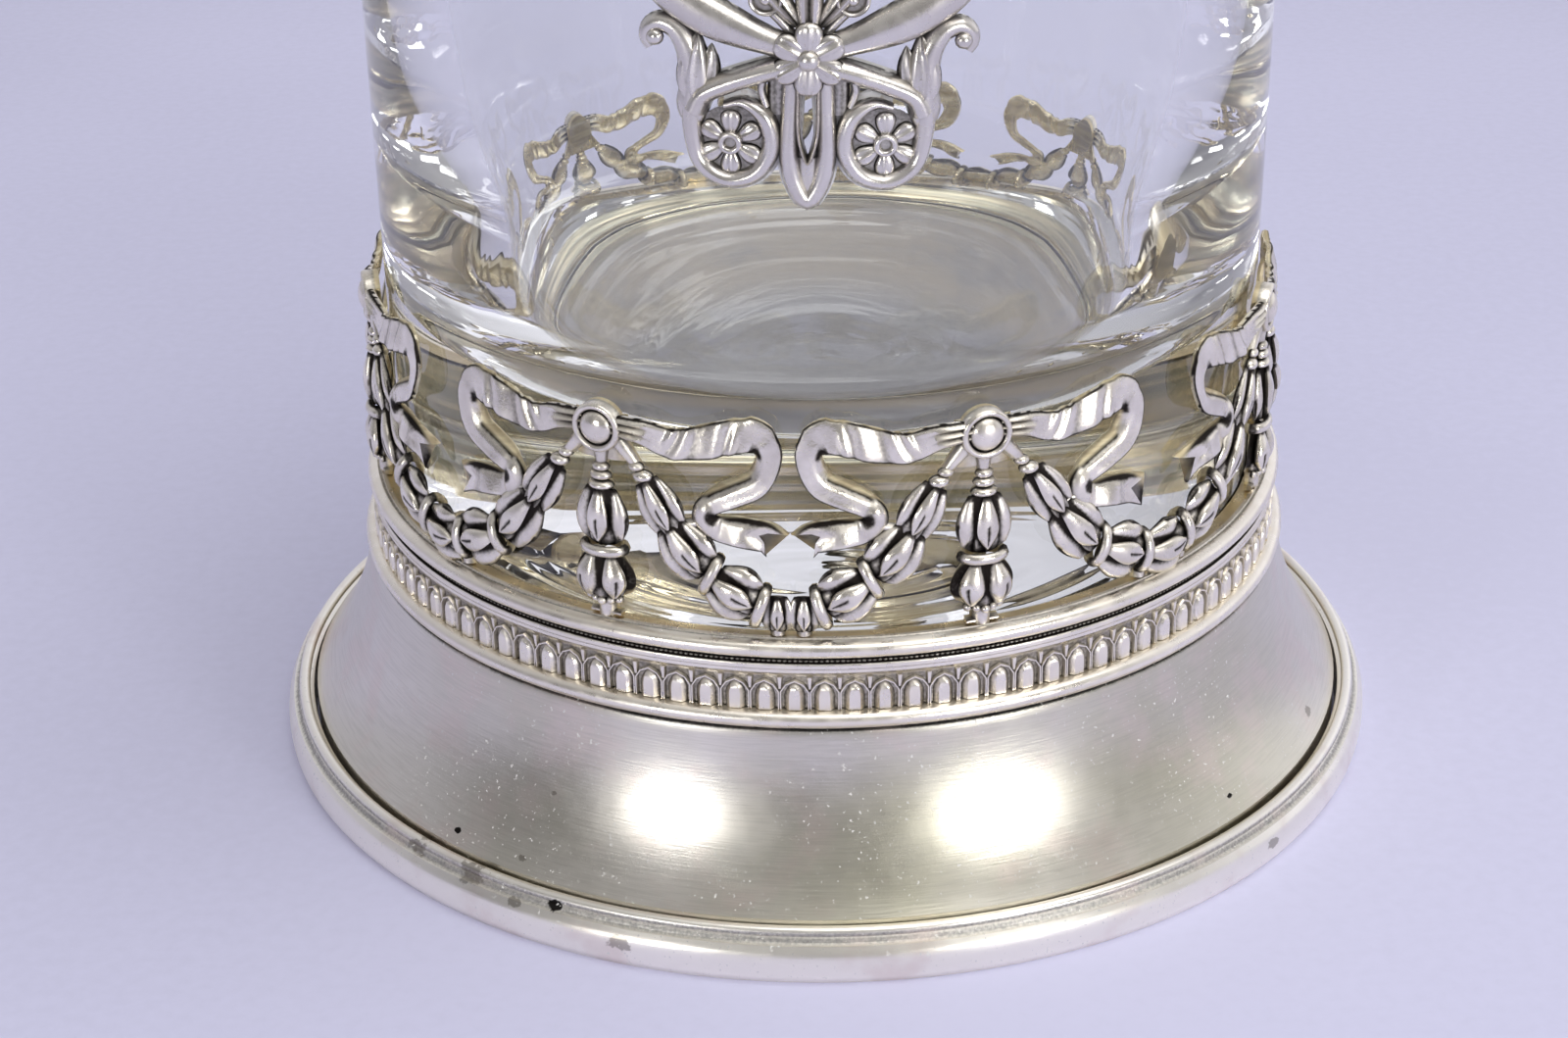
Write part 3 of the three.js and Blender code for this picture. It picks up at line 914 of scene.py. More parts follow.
@dataclass
class Foot:
    """The moulded rim wire and the spun, flaring shell with its upright collar.

    Attributes:
        rim_radius: Widest radius of the rim.
        rim_top: Height of its lip.
        rim_inner: Inside radius of the rim.
        flare_foot: Radius and height where the flare meets the rim.
        flare_waist: Control point of the hollow curve.
        flare_neck: Radius and height of the neck.
        collar_radius: Outside radius of the upright collar.
        sheet: Thickness of the metal.
        skirt_foot: Height of the lower edge inside the rim.
        rim_finish: Finish of the rim.
        flare_finish: Finish of the shell.
    """

    rim_radius: float = field(default_factory=lambda: reach("foot_rim"))
    rim_top: float = field(default_factory=lambda: top_of("foot_rim"))
    rim_inner: float = 52.3
    flare_foot: Pair = (51.9, 4.85)
    flare_waist: Pair = (46.6, 11.2)
    flare_neck: Pair = (45.4, 19.9)
    collar_radius: float = 43.9
    sheet: float = 0.95
    skirt_foot: float = 0.6
    rim_finish: FootPlate = FootPlate("rim_plate", (1.0, 0.96, 0.87, 1), tarnish_share=0.08,
                                      polish=0.3, brush=0.0)
    flare_finish: FootPlate = FootPlate("flare_plate")

    OFFSET_DROPS = (0.6, 0.4, 0.3)  # how far the curve's points go down for an offset inwards

    def flare(self, offset: float, steps: int) -> list[Pair]:
        """The hollow curve of the foot from its rim to its neck, moved inwards by an offset."""
        knots = zip((self.flare_foot, self.flare_waist, self.flare_neck), self.OFFSET_DROPS)
        a, b, c = (Vector((r - offset, z - offset * drop)) for (r, z), drop in knots)
        shares = [i / steps for i in range(steps + 1)]
        return [tuple((1 - t) ** 2 * a + 2 * t * (1 - t) * b + t * t * c) for t in shares]

    def rim(self) -> Piece:
        """Builds the moulded rim wire."""
        out, top, inner = self.rim_radius, self.rim_top, self.rim_inner
        ovolo = Line([(out - 0.55, 0), (out - 0.12, 0.7), (out - 0.02, 1.9), (out - 0.2, 2.95),
                      (out - 0.65, 3.7)])
        cavetto = [(out - 0.8, 3.72), (out - 1.05, 3.85), (out - 1.15, 4.1)]
        lip = arc((out - 1.8, top - 0.55), 0.55, -25, 190, 12)
        groove = [(inner + 0.15, 4.3), (inner, 4.2)]
        shape = Shape()
        shape.turn([(inner, 0), *ovolo.points(16), *cavetto, *lip, *groove, (inner, 0)])
        # Painted shadow in the cavetto under the lip.
        shape.stain(lambda co: window(out - 1.25, out - 0.85, 0.12, off_axis(co))
                    * smooth(3.4, 3.7, co.z) * 0.55)
        place = Place("holder", "foot_plate", ("foot_rim",))
        return finished("foot_rim_wire", shape, self.rim_finish.material(), place)

    def shell(self) -> Piece:
        """Builds the spun shell with its flare and collar."""
        collar, inside = self.collar_radius, self.collar_radius - self.sheet + 0.05
        neck, top = self.flare_neck, top_of("foot_shell")
        shape = Shape()
        shape.turn([
            (self.flare_foot[0], self.skirt_foot),
            *self.flare(0, 28),
            (neck[0] - 0.12, neck[1] + 0.3),
            (neck[0] - 0.5, neck[1] + 0.44),
            (collar, neck[1] + 0.45),
            (collar, top),
            (inside, top),
            (inside, neck[1]),
            *reversed(self.flare(self.sheet, 14)),
            (self.flare_foot[0] - self.sheet, self.skirt_foot),
            (self.flare_foot[0], self.skirt_foot),
        ])
        skirt_top = self.flare_foot[1] - 0.05
        shape.stain(lambda co: 0.6 if co.z < skirt_top
                    else 0.9 * smooth(neck[1] + 0.1, neck[1] + 0.4, co.z))
        place = Place("holder", "foot_plate", ("foot_shell",))
        return finished("foot_flare", shape, self.flare_finish.material(), place)


@dataclass
class Collar:
    """The half-round wire, tongue border, bead wire and gallery ring round the upright collar.

    Attributes:
        seat: Radius that wire, border and beads lie on.
        wire_radius: Widest radius of the half-round wire.
        wire_thickness: Its section's radius.
        wire_z: Height of its middle.
        band_radius: Radius that the tongues reach.
        ground: Radius of the sunk ground behind the tongues.
        band_foot: Lower edge of the border.
        tongue_top: Height of the arches.
        tongues: How many stand round the collar.
        bead_z: Height of the bead wire.
        bead_thickness: Its section's radius.
        bead_count: Number of its beads.
        ring_inner: Inside radius of the gallery ring.
        ring_skirt: Outside radius of its skirt.
        finish: Finish of all four.
    """

    seat: float = 44.0
    wire_radius: float = field(default_factory=lambda: reach("collar_wire"))
    wire_thickness: float = 0.78
    wire_z: float = 21.22
    band_radius: float = field(default_factory=lambda: reach("tongue_band"))
    ground: float = 44.3
    band_foot: float = 22.1
    tongue_top: float = 25.05
    tongues: int = 106
    bead_z: float = 26.72
    bead_thickness: float = 0.2
    bead_count: int = 600
    ring_inner: float = 42.2
    ring_skirt: float = 42.9
    finish: LinedPlate = LinedPlate(
        "collar_plate", (1.0, 0.94, 0.83, 1), (0.60, 0.53, 0.44, 1), tarnish_share=0.15, polish=0.3,
        cloud=6.0, nook=0.8, nook_shade_and_patina=0.4,
        lining=(0.80, 0.63, 0.31, 1), streak=(0.40, 0.31, 0.15, 1), lining_radius=43.45,
    )

    def wire(self, material: Material) -> Piece:
        """Builds the half-round wire under the border."""
        middle = (self.wire_radius - self.wire_thickness, self.wire_z)
        half = arc(middle, self.wire_thickness, -80, 80, 12)
        low, high = (self.seat, half[0][1]), (self.seat, half[-1][1])
        shape = Shape()
        shape.turn([high, low, *half, high])
        shape.stain(lambda co: 0.9 * smooth(middle[0] + 0.3, middle[0] + 0.1, off_axis(co))
                    * smooth(self.wire_z, self.wire_z - 0.5, co.z))
        place = Place("holder", "collar_plate", ("collar_wire",))
        return finished("collar_half_round", shape, material, place)

    def tongue(self) -> Shape:
        """One tongue with its arch and the dart beside it, as flat work."""
        pitch = math.tau * self.band_radius / self.tongues
        foot, top, rise = self.band_foot - 0.05, self.tongue_top, self.band_radius - self.ground
        half, arch_half, arch_wire = 0.36 * pitch, 0.455 * pitch, 0.11
        shape = Shape()

        def tongue_at(u: float, v: float) -> Spot:
            """A point of the rounded tongue."""
            height = top - 0.3 - foot
            past = max(0.0, (u - 0.5) / 0.5)
            width = half * (1 - past**1.7) ** 0.85
            across = math.cos(math.pi * v)
            face = math.sqrt(max(0.0, math.sin(math.pi * v)))
            swell = math.sqrt(max(0.0, 1 - past**4))
            # Painted shade along the tongue's edges and on its back.
            dark = 0.0 if v > 0 and abs(across) < 0.95 else 0.8
            return width * across, foot + height * u, rise * face * swell - 0.05, dark

        shape.lay(6, 6, tongue_at)
        for flip in (1, -1):
            side = [(arch_half, foot), (arch_half, top - 1.1), (0.66 * arch_half, top - 0.52),
                    (-0.03, top - arch_wire)]
            band = Band(2 * arch_wire, 0.95 * rise, -0.05, steps=4, around=6)
            shape.strip([(flip * x, z) for x, z in side], band)
        dart = [(pitch / 2, top + 0.2), (pitch / 2, top - 0.35), (pitch / 2, top - 1.0)]
        shape.strip(dart, Band(0.7, 0.8 * rise, -0.05, taper=Taper.TAIL, steps=2, around=6))
        return shape

    def border(self, material: Material) -> Piece:
        """Builds the tongue border: its sunk ground, plain upper edge and the tongues."""
        top = top_of("tongue_band") + 0.08
        slope, crest = self.tongue_top + 0.1, self.tongue_top + 0.6
        seat, ground, foot = self.seat, self.ground, self.band_foot
        edge = [(ground, self.tongue_top - 0.3), (ground + 0.05, slope), (ground + 0.25, crest),
                (ground + 0.42, crest + 0.1), (ground + 0.42, top)]
        shape = Shape()
        shape.turn([(seat, top), (seat, foot), (ground, foot), *edge, (seat, top)])
        shape.stain(lambda co: 0.55 - 0.55 * smooth(slope + 0.2, crest, co.z))
        row = self.tongue().wrap(0, lambda z: ground)
        first = [*row.mesh.verts, *row.mesh.edges, *row.mesh.faces]
        bmesh.ops.spin(row.mesh, geom=first, cent=(0, 0, 0), axis=(0, 0, 1),
                       angle=math.tau * (1 - 1 / self.tongues), steps=self.tongues - 1,
                       use_duplicate=True)
        shape.add(row)
        place = Place("holder", "collar_plate", ("tongue_band",))
        return finished("tongue_border", shape, material, place, 50)

    def beads(self, material: Material) -> Piece:
        """Builds the plain wire over the border and the fine beads in the groove above it."""
        out, foot, count = reach("bead_wire") - 0.32, foot_of("bead_wire"), self.bead_count
        shape = Shape()
        shape.turn([(self.seat, foot), (out, foot), *arc((out - 0.25, foot + 0.3), 0.25, 0, 90, 5),
                    (self.seat, foot + 0.55), (self.seat, foot)])
        # Painted shade on the plain wire's top, where it goes into the groove.
        shape.stain(lambda co: smooth(foot + 0.4, foot + 0.52, co.z))
        middle, wire = self.seat + 0.2, self.bead_thickness

        def bead_at(u: float, v: float) -> Spot:
            """A point of the beads, which swell one after another."""
            turn, round_it = math.tau * u, math.pi * v
            swell = wire * (0.75 + 0.25 * abs(math.sin(turn * count / 2)))
            radius = middle + swell * math.cos(round_it)
            height = self.bead_z + swell * math.sin(round_it)
            # The beads are painted black as shade in the groove; the crest of each swell is left
            # lighter, worn and catching light.
            worn = smooth(0.5, 1.0, math.cos(round_it)) * smooth(0.8, 0.98, swell / wire)
            return radius * math.sin(turn), -radius * math.cos(turn), height, 1.0 - 0.5 * worn

        shape.lay(count * 4, 8, bead_at)
        place = Place("holder", "collar_plate", ("bead_wire",))
        return finished("bead_border", shape, material, place)

    def ring(self, material: Material) -> Piece:
        """Builds the gallery ring: a skirt in the collar and a rounded shoulder over the beads."""
        out, top, foot = reach("gallery_ring"), top_of("gallery_ring"), foot_of("gallery_ring")
        inner, skirt = self.ring_inner, self.ring_skirt
        shoulder = Line([(out - 0.65, 27.05), (out - 0.15, 27.4), (out, 27.9), (out - 0.2, 28.4),
                         (out - 0.7, 28.68)])
        shape = Shape()
        lower = [(inner, foot), (skirt, foot), (skirt, 26.1), (out - 1.15, 26.1), (out - 1.15, 27)]
        upper = [(out - 0.95, top - 0.02), (out - 1.05, top - 0.14), (out - 1.2, top - 0.14),
                 (out - 1.3, top), (out - 1.7, top), (inner, top - 0.15), (inner, foot)]
        shape.turn([*lower, *shoulder.points(14), *upper])

        def dark(co: Vector) -> float:
            """Painted shade: black in the groove under the shoulder, and dull in the fine line on
            top.
            """
            if co.z < 27.1:
                return smooth(skirt, skirt + 0.2, off_axis(co))
            return 0.5 * window(out - 1.25, out - 1.0, 0.1, off_axis(co)) * smooth(28.4, 28.5, co.z)

        shape.stain(dark)
        place = Place("holder", "collar_plate", ("gallery_ring",))
        return finished("gallery_shoulder", shape, material, place)

    def build(self) -> list[Piece]:
        """Builds all that lies round the collar."""
        material = self.finish.material()
        return [make(material) for make in (self.wire, self.border, self.beads, self.ring)]


@dataclass(frozen=True)
class Husk:
    """A bud of pointed leaves round a core, flat behind.

    Attributes:
        radius: Radius over the leaves.
        depth: Depth of the bud for its width.
        facing: 1 where a leaf faces outwards, 0 where a gap does.
    """

    radius: float
    depth: float = 0.62
    facing: int = 1

    SECTOR = 72.0
    LEAF_COLUMNS = 12
    FRONT_COLUMNS = 30
    BACK_COLUMNS = 6
    ROWS = 16
    LEAF_EDGE = 5 / 6
    LEAF_TIP = 0.92
    WIDEST = 0.55

    def core(self, u: float) -> float:
        """Radius of the core at a share of the length."""
        return self.radius * (0.45 + 0.2 * math.sin(math.pi * u))

    def leaf_half(self, u: float) -> float:
        """Half a leaf's width at a share of the length, as a share of its sector."""
        if u < self.WIDEST:
            return 0.45 + 0.42 * math.sin(math.pi / 2 * u / self.WIDEST)
        past = min(1.0, (u - self.WIDEST) / (self.LEAF_TIP - self.WIDEST))
        return 0.04 + 0.83 * (1 - past**2)

    def leaf(self, u: float, s: float) -> Triple:
        """A point of one leaf's sector.

        Args:
            u: Share of the length.
            s: Place across the sector, -1 to 1.

        Returns:
            Place across the sector by angle, radius and blackening, with painted shade at the
            leaf's edges, at the stalk and in the gaps between leaves.
        """
        half, edge = self.leaf_half(u), self.LEAF_EDGE
        if abs(s) <= edge:
            angle = s / edge * half
            bulge = math.sqrt(max(0.0, 1 - (s / edge) ** 2))
            swell = math.sin(math.pi * (0.14 + 0.66 * u**1.1)) * (1 - 0.85 * smooth(0.9, 0.98, u))
            slit = math.exp(-((s / 0.11) ** 2)) * window(0.5, 0.8, 0.08, u)
            lift = (0.14 + 0.36 * bulge) * swell - 0.08 * slit
            # Painted shade at the leaf's edges and at the stalk, with blackening in the slit.
            dark = max(0.9 * slit, 0.85 * smooth(0.66, edge, abs(s)), 0.95 * smooth(0.14, 0.02, u))
        else:
            past = (abs(s) - edge) / (1 - edge)
            angle = math.copysign(half + past * (1 - half), s)
            under = past * smooth(0.66, 0.8, u) * (1 - smooth(0.94, 1.0, u))
            lift = 0.16 * under - 0.02
            # The gaps between leaves are painted black as shade, lighter where a lower leaf shows.
            dark = 1 - 0.55 * under
        return angle, self.core(u) + self.radius * lift, max(dark, smooth(0.94, 0.99, u))

    def turn(self, u: float, v: float) -> Spot:
        """A point of the bud's section at a share of its length.

        Args:
            u: Share of the length.
            v: Place round the section, -1 to 1.

        Returns:
            Degrees from the outward direction, radius, depth for the radius and blackening, with
            painted shade on the sides that turn away.
        """
        column = (v + 1) / 2 * (self.FRONT_COLUMNS + self.BACK_COLUMNS)
        if column > self.FRONT_COLUMNS + 0.5:
            share = (column - self.FRONT_COLUMNS) / self.BACK_COLUMNS
            return 90 + 180 * share, self.core(u), 0.3 * self.depth, BACK_DARK
        shift = 0.5 if self.facing else 0.0
        place = column / self.LEAF_COLUMNS - 90 / self.SECTOR + shift
        sector = math.floor(place + 1e-6)
        across, radius, dark = self.leaf(u, 2 * (place - sector) - 1)
        degrees = (sector + 0.5 - shift + across / 2) * self.SECTOR
        # Painted shade on the bud's sides, darker as they turn away from the front.
        return degrees, radius, self.depth, max(dark, 0.9 * smooth(55, 88, abs(degrees)))

    def place(self, shape: Shape, line: Line, start: float, end: float) -> None:
        """Adds the bud to a shape.

        Args:
            shape: The flat work that it joins.
            line: The line that it lies on.
            start: Share of the line at its stalk end.
            end: Share of the line at its tip.
        """

        def spot(u: float, v: float) -> Spot:
            """A point of the bud."""
            degrees, radius, depth, dark = self.turn(u, v)
            side = radius * math.sin(math.radians(degrees))
            out = depth * radius * math.cos(math.radians(degrees))
            return *line.beside(start + (end - start) * u, side), out, dark

        shape.lay(self.ROWS, self.FRONT_COLUMNS + self.BACK_COLUMNS, spot)


@dataclass(frozen=True)
class Ribbon:
    """A pleated ribbon that leaves a button, turns back twice and ends in a swallowtail.

    Places along it are lengths from its button, in millimetres, and places across it run from
    -1 on the outer side of its first turn to 1 on the inner side.

    Attributes:
        points: Its middle line, in flat work.
        widths: Its width at places along it.
        tilts: How far its inner side stands out, and its outer side back, at places along it.
        pleat: Length of a pleat.
        notch: Depth of the swallowtail.
        thickness: Half the thickness of the metal.
        crown: How far its middle stands out from its edges; below 0 it is hollow.
        slant: How far a pleat runs along the ribbon from its middle to its edge.
    """

    points: tuple[Pair, ...]
    widths: tuple[Pair, ...] = (
        (0.0, 1.8), (3.4, 2.4), (6.0, 2.7), (8.8, 3.0), (11.5, 3.1), (13.8, 2.75), (15.6, 2.35),
        (20.0, 2.35), (23.0, 2.1), (27.0, 2.4), (30.0, 2.7), (34.0, 3.0),
    )
    tilts: tuple[Pair, ...] = (
        (0.0, 0.1), (6.0, 0.25), (11.5, 0.35), (14.0, 0.1), (17.0, -0.35), (21.5, -0.4),
        (24.5, 0.0), (27.5, 0.4), (31.0, 0.15), (34.0, 0.35),
    )
    pleat: float = 2.2
    notch: float = 2.0
    thickness: float = 0.4
    crown: float = -0.08
    slant: float = 0.8

    STEPS = 110
    AROUND = 20

    def wave(self, s: float, across: float) -> float:
        """Height of the slanting, uneven pleats, -1 to 1."""
        place = s + self.slant * across
        return math.sin(math.tau * (place + 0.5 * math.sin(1.1 * place)) / self.pleat)

    def knot(self, s: float) -> float:
        """How much the ribbon is gathered at its button, 0 to 1."""
        return 1 - smooth(1.6, 5.4, s)

    def pleats(self, s: float) -> float:
        """How much it is pleated, 0 to 1."""
        return window(5.6, 11.4, 0.9, s)

    def turn(self, s: float) -> float:
        """How much it shows its hollow inside, 0 to 1, from the first turn to the second."""
        return window(14.4, 22.4, 0.9, s)

    def fold(self, s: float) -> float:
        """How much it is rolled over at the second turn, 0 to 1."""
        return window(23.4, 25.4, 0.8, s)

    def tail(self, s: float) -> float:
        """How much of it is tail, 0 to 1."""
        return smooth(25.4, 27.2, s)

    def depth(self, s: float, across: float) -> float:
        """Distance outwards of the ribbon's middle sheet."""
        knot = self.knot(s)
        out = -0.05 + 0.45 * knot + 0.2 * knot * math.cos(3 * math.pi * across)
        out += (self.crown * (1 - across * across) + level(self.tilts, s) * across) * (1 - knot)
        out += self.pleats(s) * (0.15 + 0.13 * self.wave(s, across))
        ridge = math.exp(-(((across - 0.15) / 0.14) ** 2))
        out += self.turn(s) * (0.1 + 0.3 * ridge - 0.35 * smooth(0.25, 1.0, across))
        out += self.fold(s) * (0.45 - 0.55 * across * across)
        roll = 0.25 * math.sin(math.tau * (s - 26.5) / 8)
        return out + self.tail(s) * (0.15 + roll - 0.25 * smooth(-0.5, -1.0, across))

    def shade(self, s: float, across: float) -> float:
        """Painted shade and blackening of the ribbon's face, 0 to 1, with the middle of the first
        turn left lighter.
        """
        # Painted light: the middle of the first turn is left lighter, as if lit.
        inside = 1 - 0.85 * window(16.2, 17.6, 0.8, s)
        # Painted shade in the gathers at the button and in the pleats' hollows.
        dark = 0.65 * self.knot(s) * (0.5 - 0.5 * math.cos(3 * math.pi * across))
        dark += self.pleats(s) * (0.06 + 0.45 * max(0.0, -self.wave(s, across)) ** 3)
        # Painted shade inside the turn and in the crease at its corner.
        dark += 0.9 * self.turn(s) * smooth(0.38, 0.62, across) * inside
        dark += 0.75 * window(13.4, 14.0, 0.6, s) * smooth(-0.1, 0.6, across)
        # Painted shade round the roll of the second turn.
        dark += self.fold(s) * (0.9 * smooth(0.0, -0.4, across) + 0.45 * smooth(0.45, 0.9, across))
        crease = 0.35 * window(29.2, 29.9, 0.7, s)
        # Painted shadow under the tail's upper edge, where the fold hangs over it.
        dark += self.tail(s) * (0.9 * smooth(-0.5, -0.8, across) + crease)
        # Painted shade along both edges.
        return min(1.0, dark + smooth(0.78, 0.94, abs(across)))

    def place(self, shape: Shape) -> None:
        """Adds the ribbon to flat work."""
        line = Line(self.points)
        length = line.lengths[-1]

        def spot(u: float, v: float) -> Spot:
            """A point of the ribbon."""
            s, across, front = u * length, math.cos(math.pi * v), math.sin(math.pi * v)
            out = self.depth(s, across) + self.thickness * math.copysign(abs(front) ** 0.4, front)
            corner = 1 + 0.22 * window(12.7, 13.8, 0.5, s) if across < 0 else 1.0
            side = level(self.widths, s) / 2 * across * corner
            share = u - self.notch * (1 - abs(across)) * smooth(length - 4.5, length, s) / length
            dark = self.shade(s, across) if front >= 0 else BACK_DARK
            return *line.beside(share, side), out, dark

        shape.lay(self.STEPS, self.AROUND, spot)


@dataclass
class Gallery:
    """The pierced strip of bows, ribbons, husk drops and husk swags, open at one seam in front.

    Attributes:
        radius: Radius of the strip's middle.
        bows: Number of bows.
        seam: Angle of the open seam from the front, towards +X, in degrees.
        seam_half: Degrees from the seam to the bow on either side.
        button_z: Height of the buttons.
        foot_z: Height of the ring that the strip stands on.
        ribbon_line: Middle of a ribbon from its button to its end, in flat work.
        seam_trim: How much shorter a ribbon is at the seam.
        swag_line: Middle of half a swag from its button to its middle, in flat work.
        seam_line: The same for a half at the seam.
        finish: Finish of the strip.
    """

    radius: float = 43.3
    bows: int = 7
    seam: float = -3.8
    seam_half: float = 22.4
    button_z: float = 47.2
    foot_z: float = field(default_factory=lambda: foot_of("gallery_strip"))
    ribbon_line: tuple[Pair, ...] = (
        (1.2, 47.6), (4.1, 47.25), (6.2, 46.55), (8.1, 46.6), (10.0, 47.05), (11.9, 47.6),
        (13.8, 47.7), (15.0, 46.8), (15.15, 45.4), (14.2, 43.4), (12.4, 42.4), (10.6, 41.5),
        (9.55, 40.5), (9.6, 39.5), (10.7, 38.85), (12.6, 38.75), (14.9, 38.3), (17.2, 37.4),
    )
    seam_trim: float = 1.3
    swag_line: tuple[Pair, ...] = ((1.5, 46.2), (4.5, 42.7), (7.6, 38.1), (11.5, 33.9), (17, 31.5))
    seam_line: tuple[Pair, ...] = ((1.5, 46.2), (4.3, 42.7), (6.7, 38.3), (9.8, 34.5), (14.3, 31.6))
    finish: LinedPlate = LinedPlate(
        "gallery_plate", (1.0, 0.94, 0.825, 1), (0.38, 0.335, 0.28, 1), tarnish_share=0.24,
        polish=0.25, cloud=2.4, grain=0.02, nook=2.4, nook_shade_and_patina=0.95, nook_open=0.93,
        lining=(0.96, 0.86, 0.60, 1), streak=(0.74, 0.63, 0.41, 1), lining_radius=43.2,
    )

    BINDING_WIRE = 0.42  # radius of a binding ring's wire

    def step(self) -> float:
        """Degrees from one bow to the next, away from the seam."""
        return (360 - 2 * self.seam_half) / (self.bows - 1)

    def arc_of(self, degrees: float) -> float:
        """Length along the strip of an angle."""
        return math.radians(degrees) * self.radius

    def ribbon(self, shape: Shape, at_seam: bool) -> None:
        """Adds a ribbon, shorter at the seam, and the loop that ties it to the swag."""
        *points, (end_x, end_z) = self.ribbon_line
        trim = self.seam_trim if at_seam else 0.0
        Ribbon((*points, (end_x - trim, end_z))).place(shape)
        loop = [(10.0, 39.7), (8.9, 39.2), (7.6, 38.9)]
        shape.strip(loop, Band(1.0, 0.7, -0.25, steps=6, around=10, dark=0.15))

    def binding(self, shape: Shape, line: Line, share: float, radius: float, depth: float,
                slant: float) -> None:
        """Adds a binding ring round a string of husks.

        Args:
            shape: The flat work that it joins.
            line: The line of the string.
            share: Share of the line where it sits.
            radius: Half the ring's width.
            depth: Half the ring's depth.
            slant: How far its near side leans along the line.
        """
        wire = self.BINDING_WIRE
        at, along = line.at(share), line.along(share)

        def spot(u: float, v: float) -> Spot:
            """A point of the ring."""
            turn, round_it = math.tau * u, math.pi * v
            swell, sway = math.cos(round_it), math.cos(turn)
            side = (radius + wire * swell) * sway
            out = (depth + wire * swell) * math.sin(turn)
            forward = 1.25 * wire * math.sin(round_it) + slant * sway
            # Painted shade on the wire's inner side and on the ring's sides, where they turn away.
            dark = 0.8 * max(smooth(0.4, 0.0, swell), smooth(0.75, 0.98, abs(sway)))
            x = at.x + along.y * side + along.x * forward
            z = at.y - along.x * side + along.y * forward
            return x, z, out, dark

        shape.lay(18, 8, spot)

    def stalk(self, shape: Shape, line: Line, end: float) -> None:
        """Adds the tapered stalk between the button and the beads of a string."""
        points = [tuple(line.at(end * i / 3)) for i in range(4)]
        shape.strip(points, Band(1.8, 1.0, -0.35, taper=Taper.TAIL, steps=6, around=12))

    def swag(self, shape: Shape, at_seam: bool) -> None:
        """Adds half a swag, and the foot under its last binding."""
        if at_seam:
            knots = [*self.seam_line, (self.arc_of(self.seam_half) - 0.25, 30.3)]
        else:
            knots = [*self.swag_line, (self.arc_of(self.step() / 2), 30.85)]
        line = Line(knots)
        spans = [Line(knots[: i + 1]).lengths[-1] if i else 0.0 for i in range(len(knots))]
        marks = [line.share_of(span) for span in spans]
        self.stalk(shape, line, marks[1] - 0.055)
        for share, size in ((marks[1] - 0.065, 0.75), (marks[1] - 0.02, 0.98)):
            at = line.at(share)
            shape.ball((at.x, at.y, 0.1), (size, 0.62 * size, 0.8 * size))
        Husk(1.8).place(shape, line, marks[1], marks[2] + 0.012)
        Husk(2.3).place(shape, line, marks[2] - 0.02, marks[3] - 0.008)
        self.binding(shape, line, marks[3] + 0.012, 1.75, 1.1, 0.45)
        Husk(2.5).place(shape, line, marks[3] + 0.025, marks[4] - 0.015)
        self.binding(shape, line, marks[4], 1.8, 1.15, 0.4)
        if at_seam:
            foot_x = self.arc_of(self.seam_half) - 1.15
            stub = Line([(foot_x, 32.6), (foot_x, 30.9), (foot_x, 29.2)])
            Husk(1.35).place(shape, stub, 0.0, 1.0)
        else:
            foot_x = knots[4][0]
        foot = [(foot_x, self.foot_z), (foot_x, self.foot_z + 0.8), (foot_x, self.foot_z + 2.3)]
        shape.strip(foot, Band(1.5, 1.0, -0.5, taper=Taper.TAIL, steps=6, around=12, dark=0.25))

    def keystone(self) -> Shape:
        """The bud in the middle of a whole swag, as flat work."""
        shape = Shape()
        Husk(2.5).place(shape, Line([(-2.6, 31.3), (0, 30.95), (2.6, 31.3)]), 0.0, 1.0)
        return shape

    def drop(self, shape: Shape) -> None:
        """Adds the husk drop that hangs from the button and stands on the ring."""
        top, foot = self.button_z - 1.0, self.foot_z
        line = Line([(0, top), (0, (top + foot) / 2), (0, foot)])

        def share(z: float) -> float:
            """Share of the drop's line at a height."""
            return (top - z) / (top - foot)

        shape.strip([(0, top), (0, top - 1.2), (0, top - 2.6)],
                    Band(2.1, 1.0, -0.3, taper=Taper.TAIL, steps=6, around=16))
        for z, size in ((43.35, 0.85), (42.55, 1.05), (41.65, 1.25)):
            shape.ball((0, z, 0.1), (size, 0.5, 0.8 * size))
        Husk(2.3).place(shape, line, share(41.3), share(35.9))
        self.binding(shape, line, share(35.5), 2.0, 1.2, 0.0)
        Husk(2.75, facing=0).place(shape, line, share(35.1), share(30.6))
        for i in range(-2, 3):
            shape.ball((0.72 * i, 30.55 + 0.06 * abs(i), 0.9 - 0.28 * abs(i)), (0.42, 0.42, 0.42))
        shape.strip([(0, 31.0), (0, 29.8), (0, 29.3), (0, foot)],
                    Band(1.9, 1.2, -0.5, steps=6, around=14, dark=0.15))
        shape.strip([(-1.5, foot + 0.28), (0, foot + 0.3), (1.5, foot + 0.28)],
                    Band(0.65, 0.8, -0.4, steps=8, around=10, dark=0.1))

    def button(self, shape: Shape) -> None:
        """Adds the button: a dome inside a rolled rim, with the web behind it."""
        middle = self.button_z
        dome = bulge((0, 0.5), (1.6, 0.95), 90, 7)
        rim = bulge((1.97, 0.7), (0.32, 0.34), 180, 5)
        profile = [(0, -0.6, 0.9), (2.29, -0.6, 0.9), *rim, (1.63, 0.35, 1.0), *dome]
        shape.boss((0, middle), profile, 32)
        web = [(0, middle + 1.2), (0, middle - 0.8), (0, middle - 3.2)]
        shape.strip(web, Band(5.2, 0.45, -0.45, steps=6, around=12, dark=0.35))

    def half(self, at_seam: bool) -> Shape:
        """The right half of a bow's work, on its plain side or at the seam."""
        shape = Shape()
        self.ribbon(shape, at_seam)
        self.swag(shape, at_seam)
        return shape

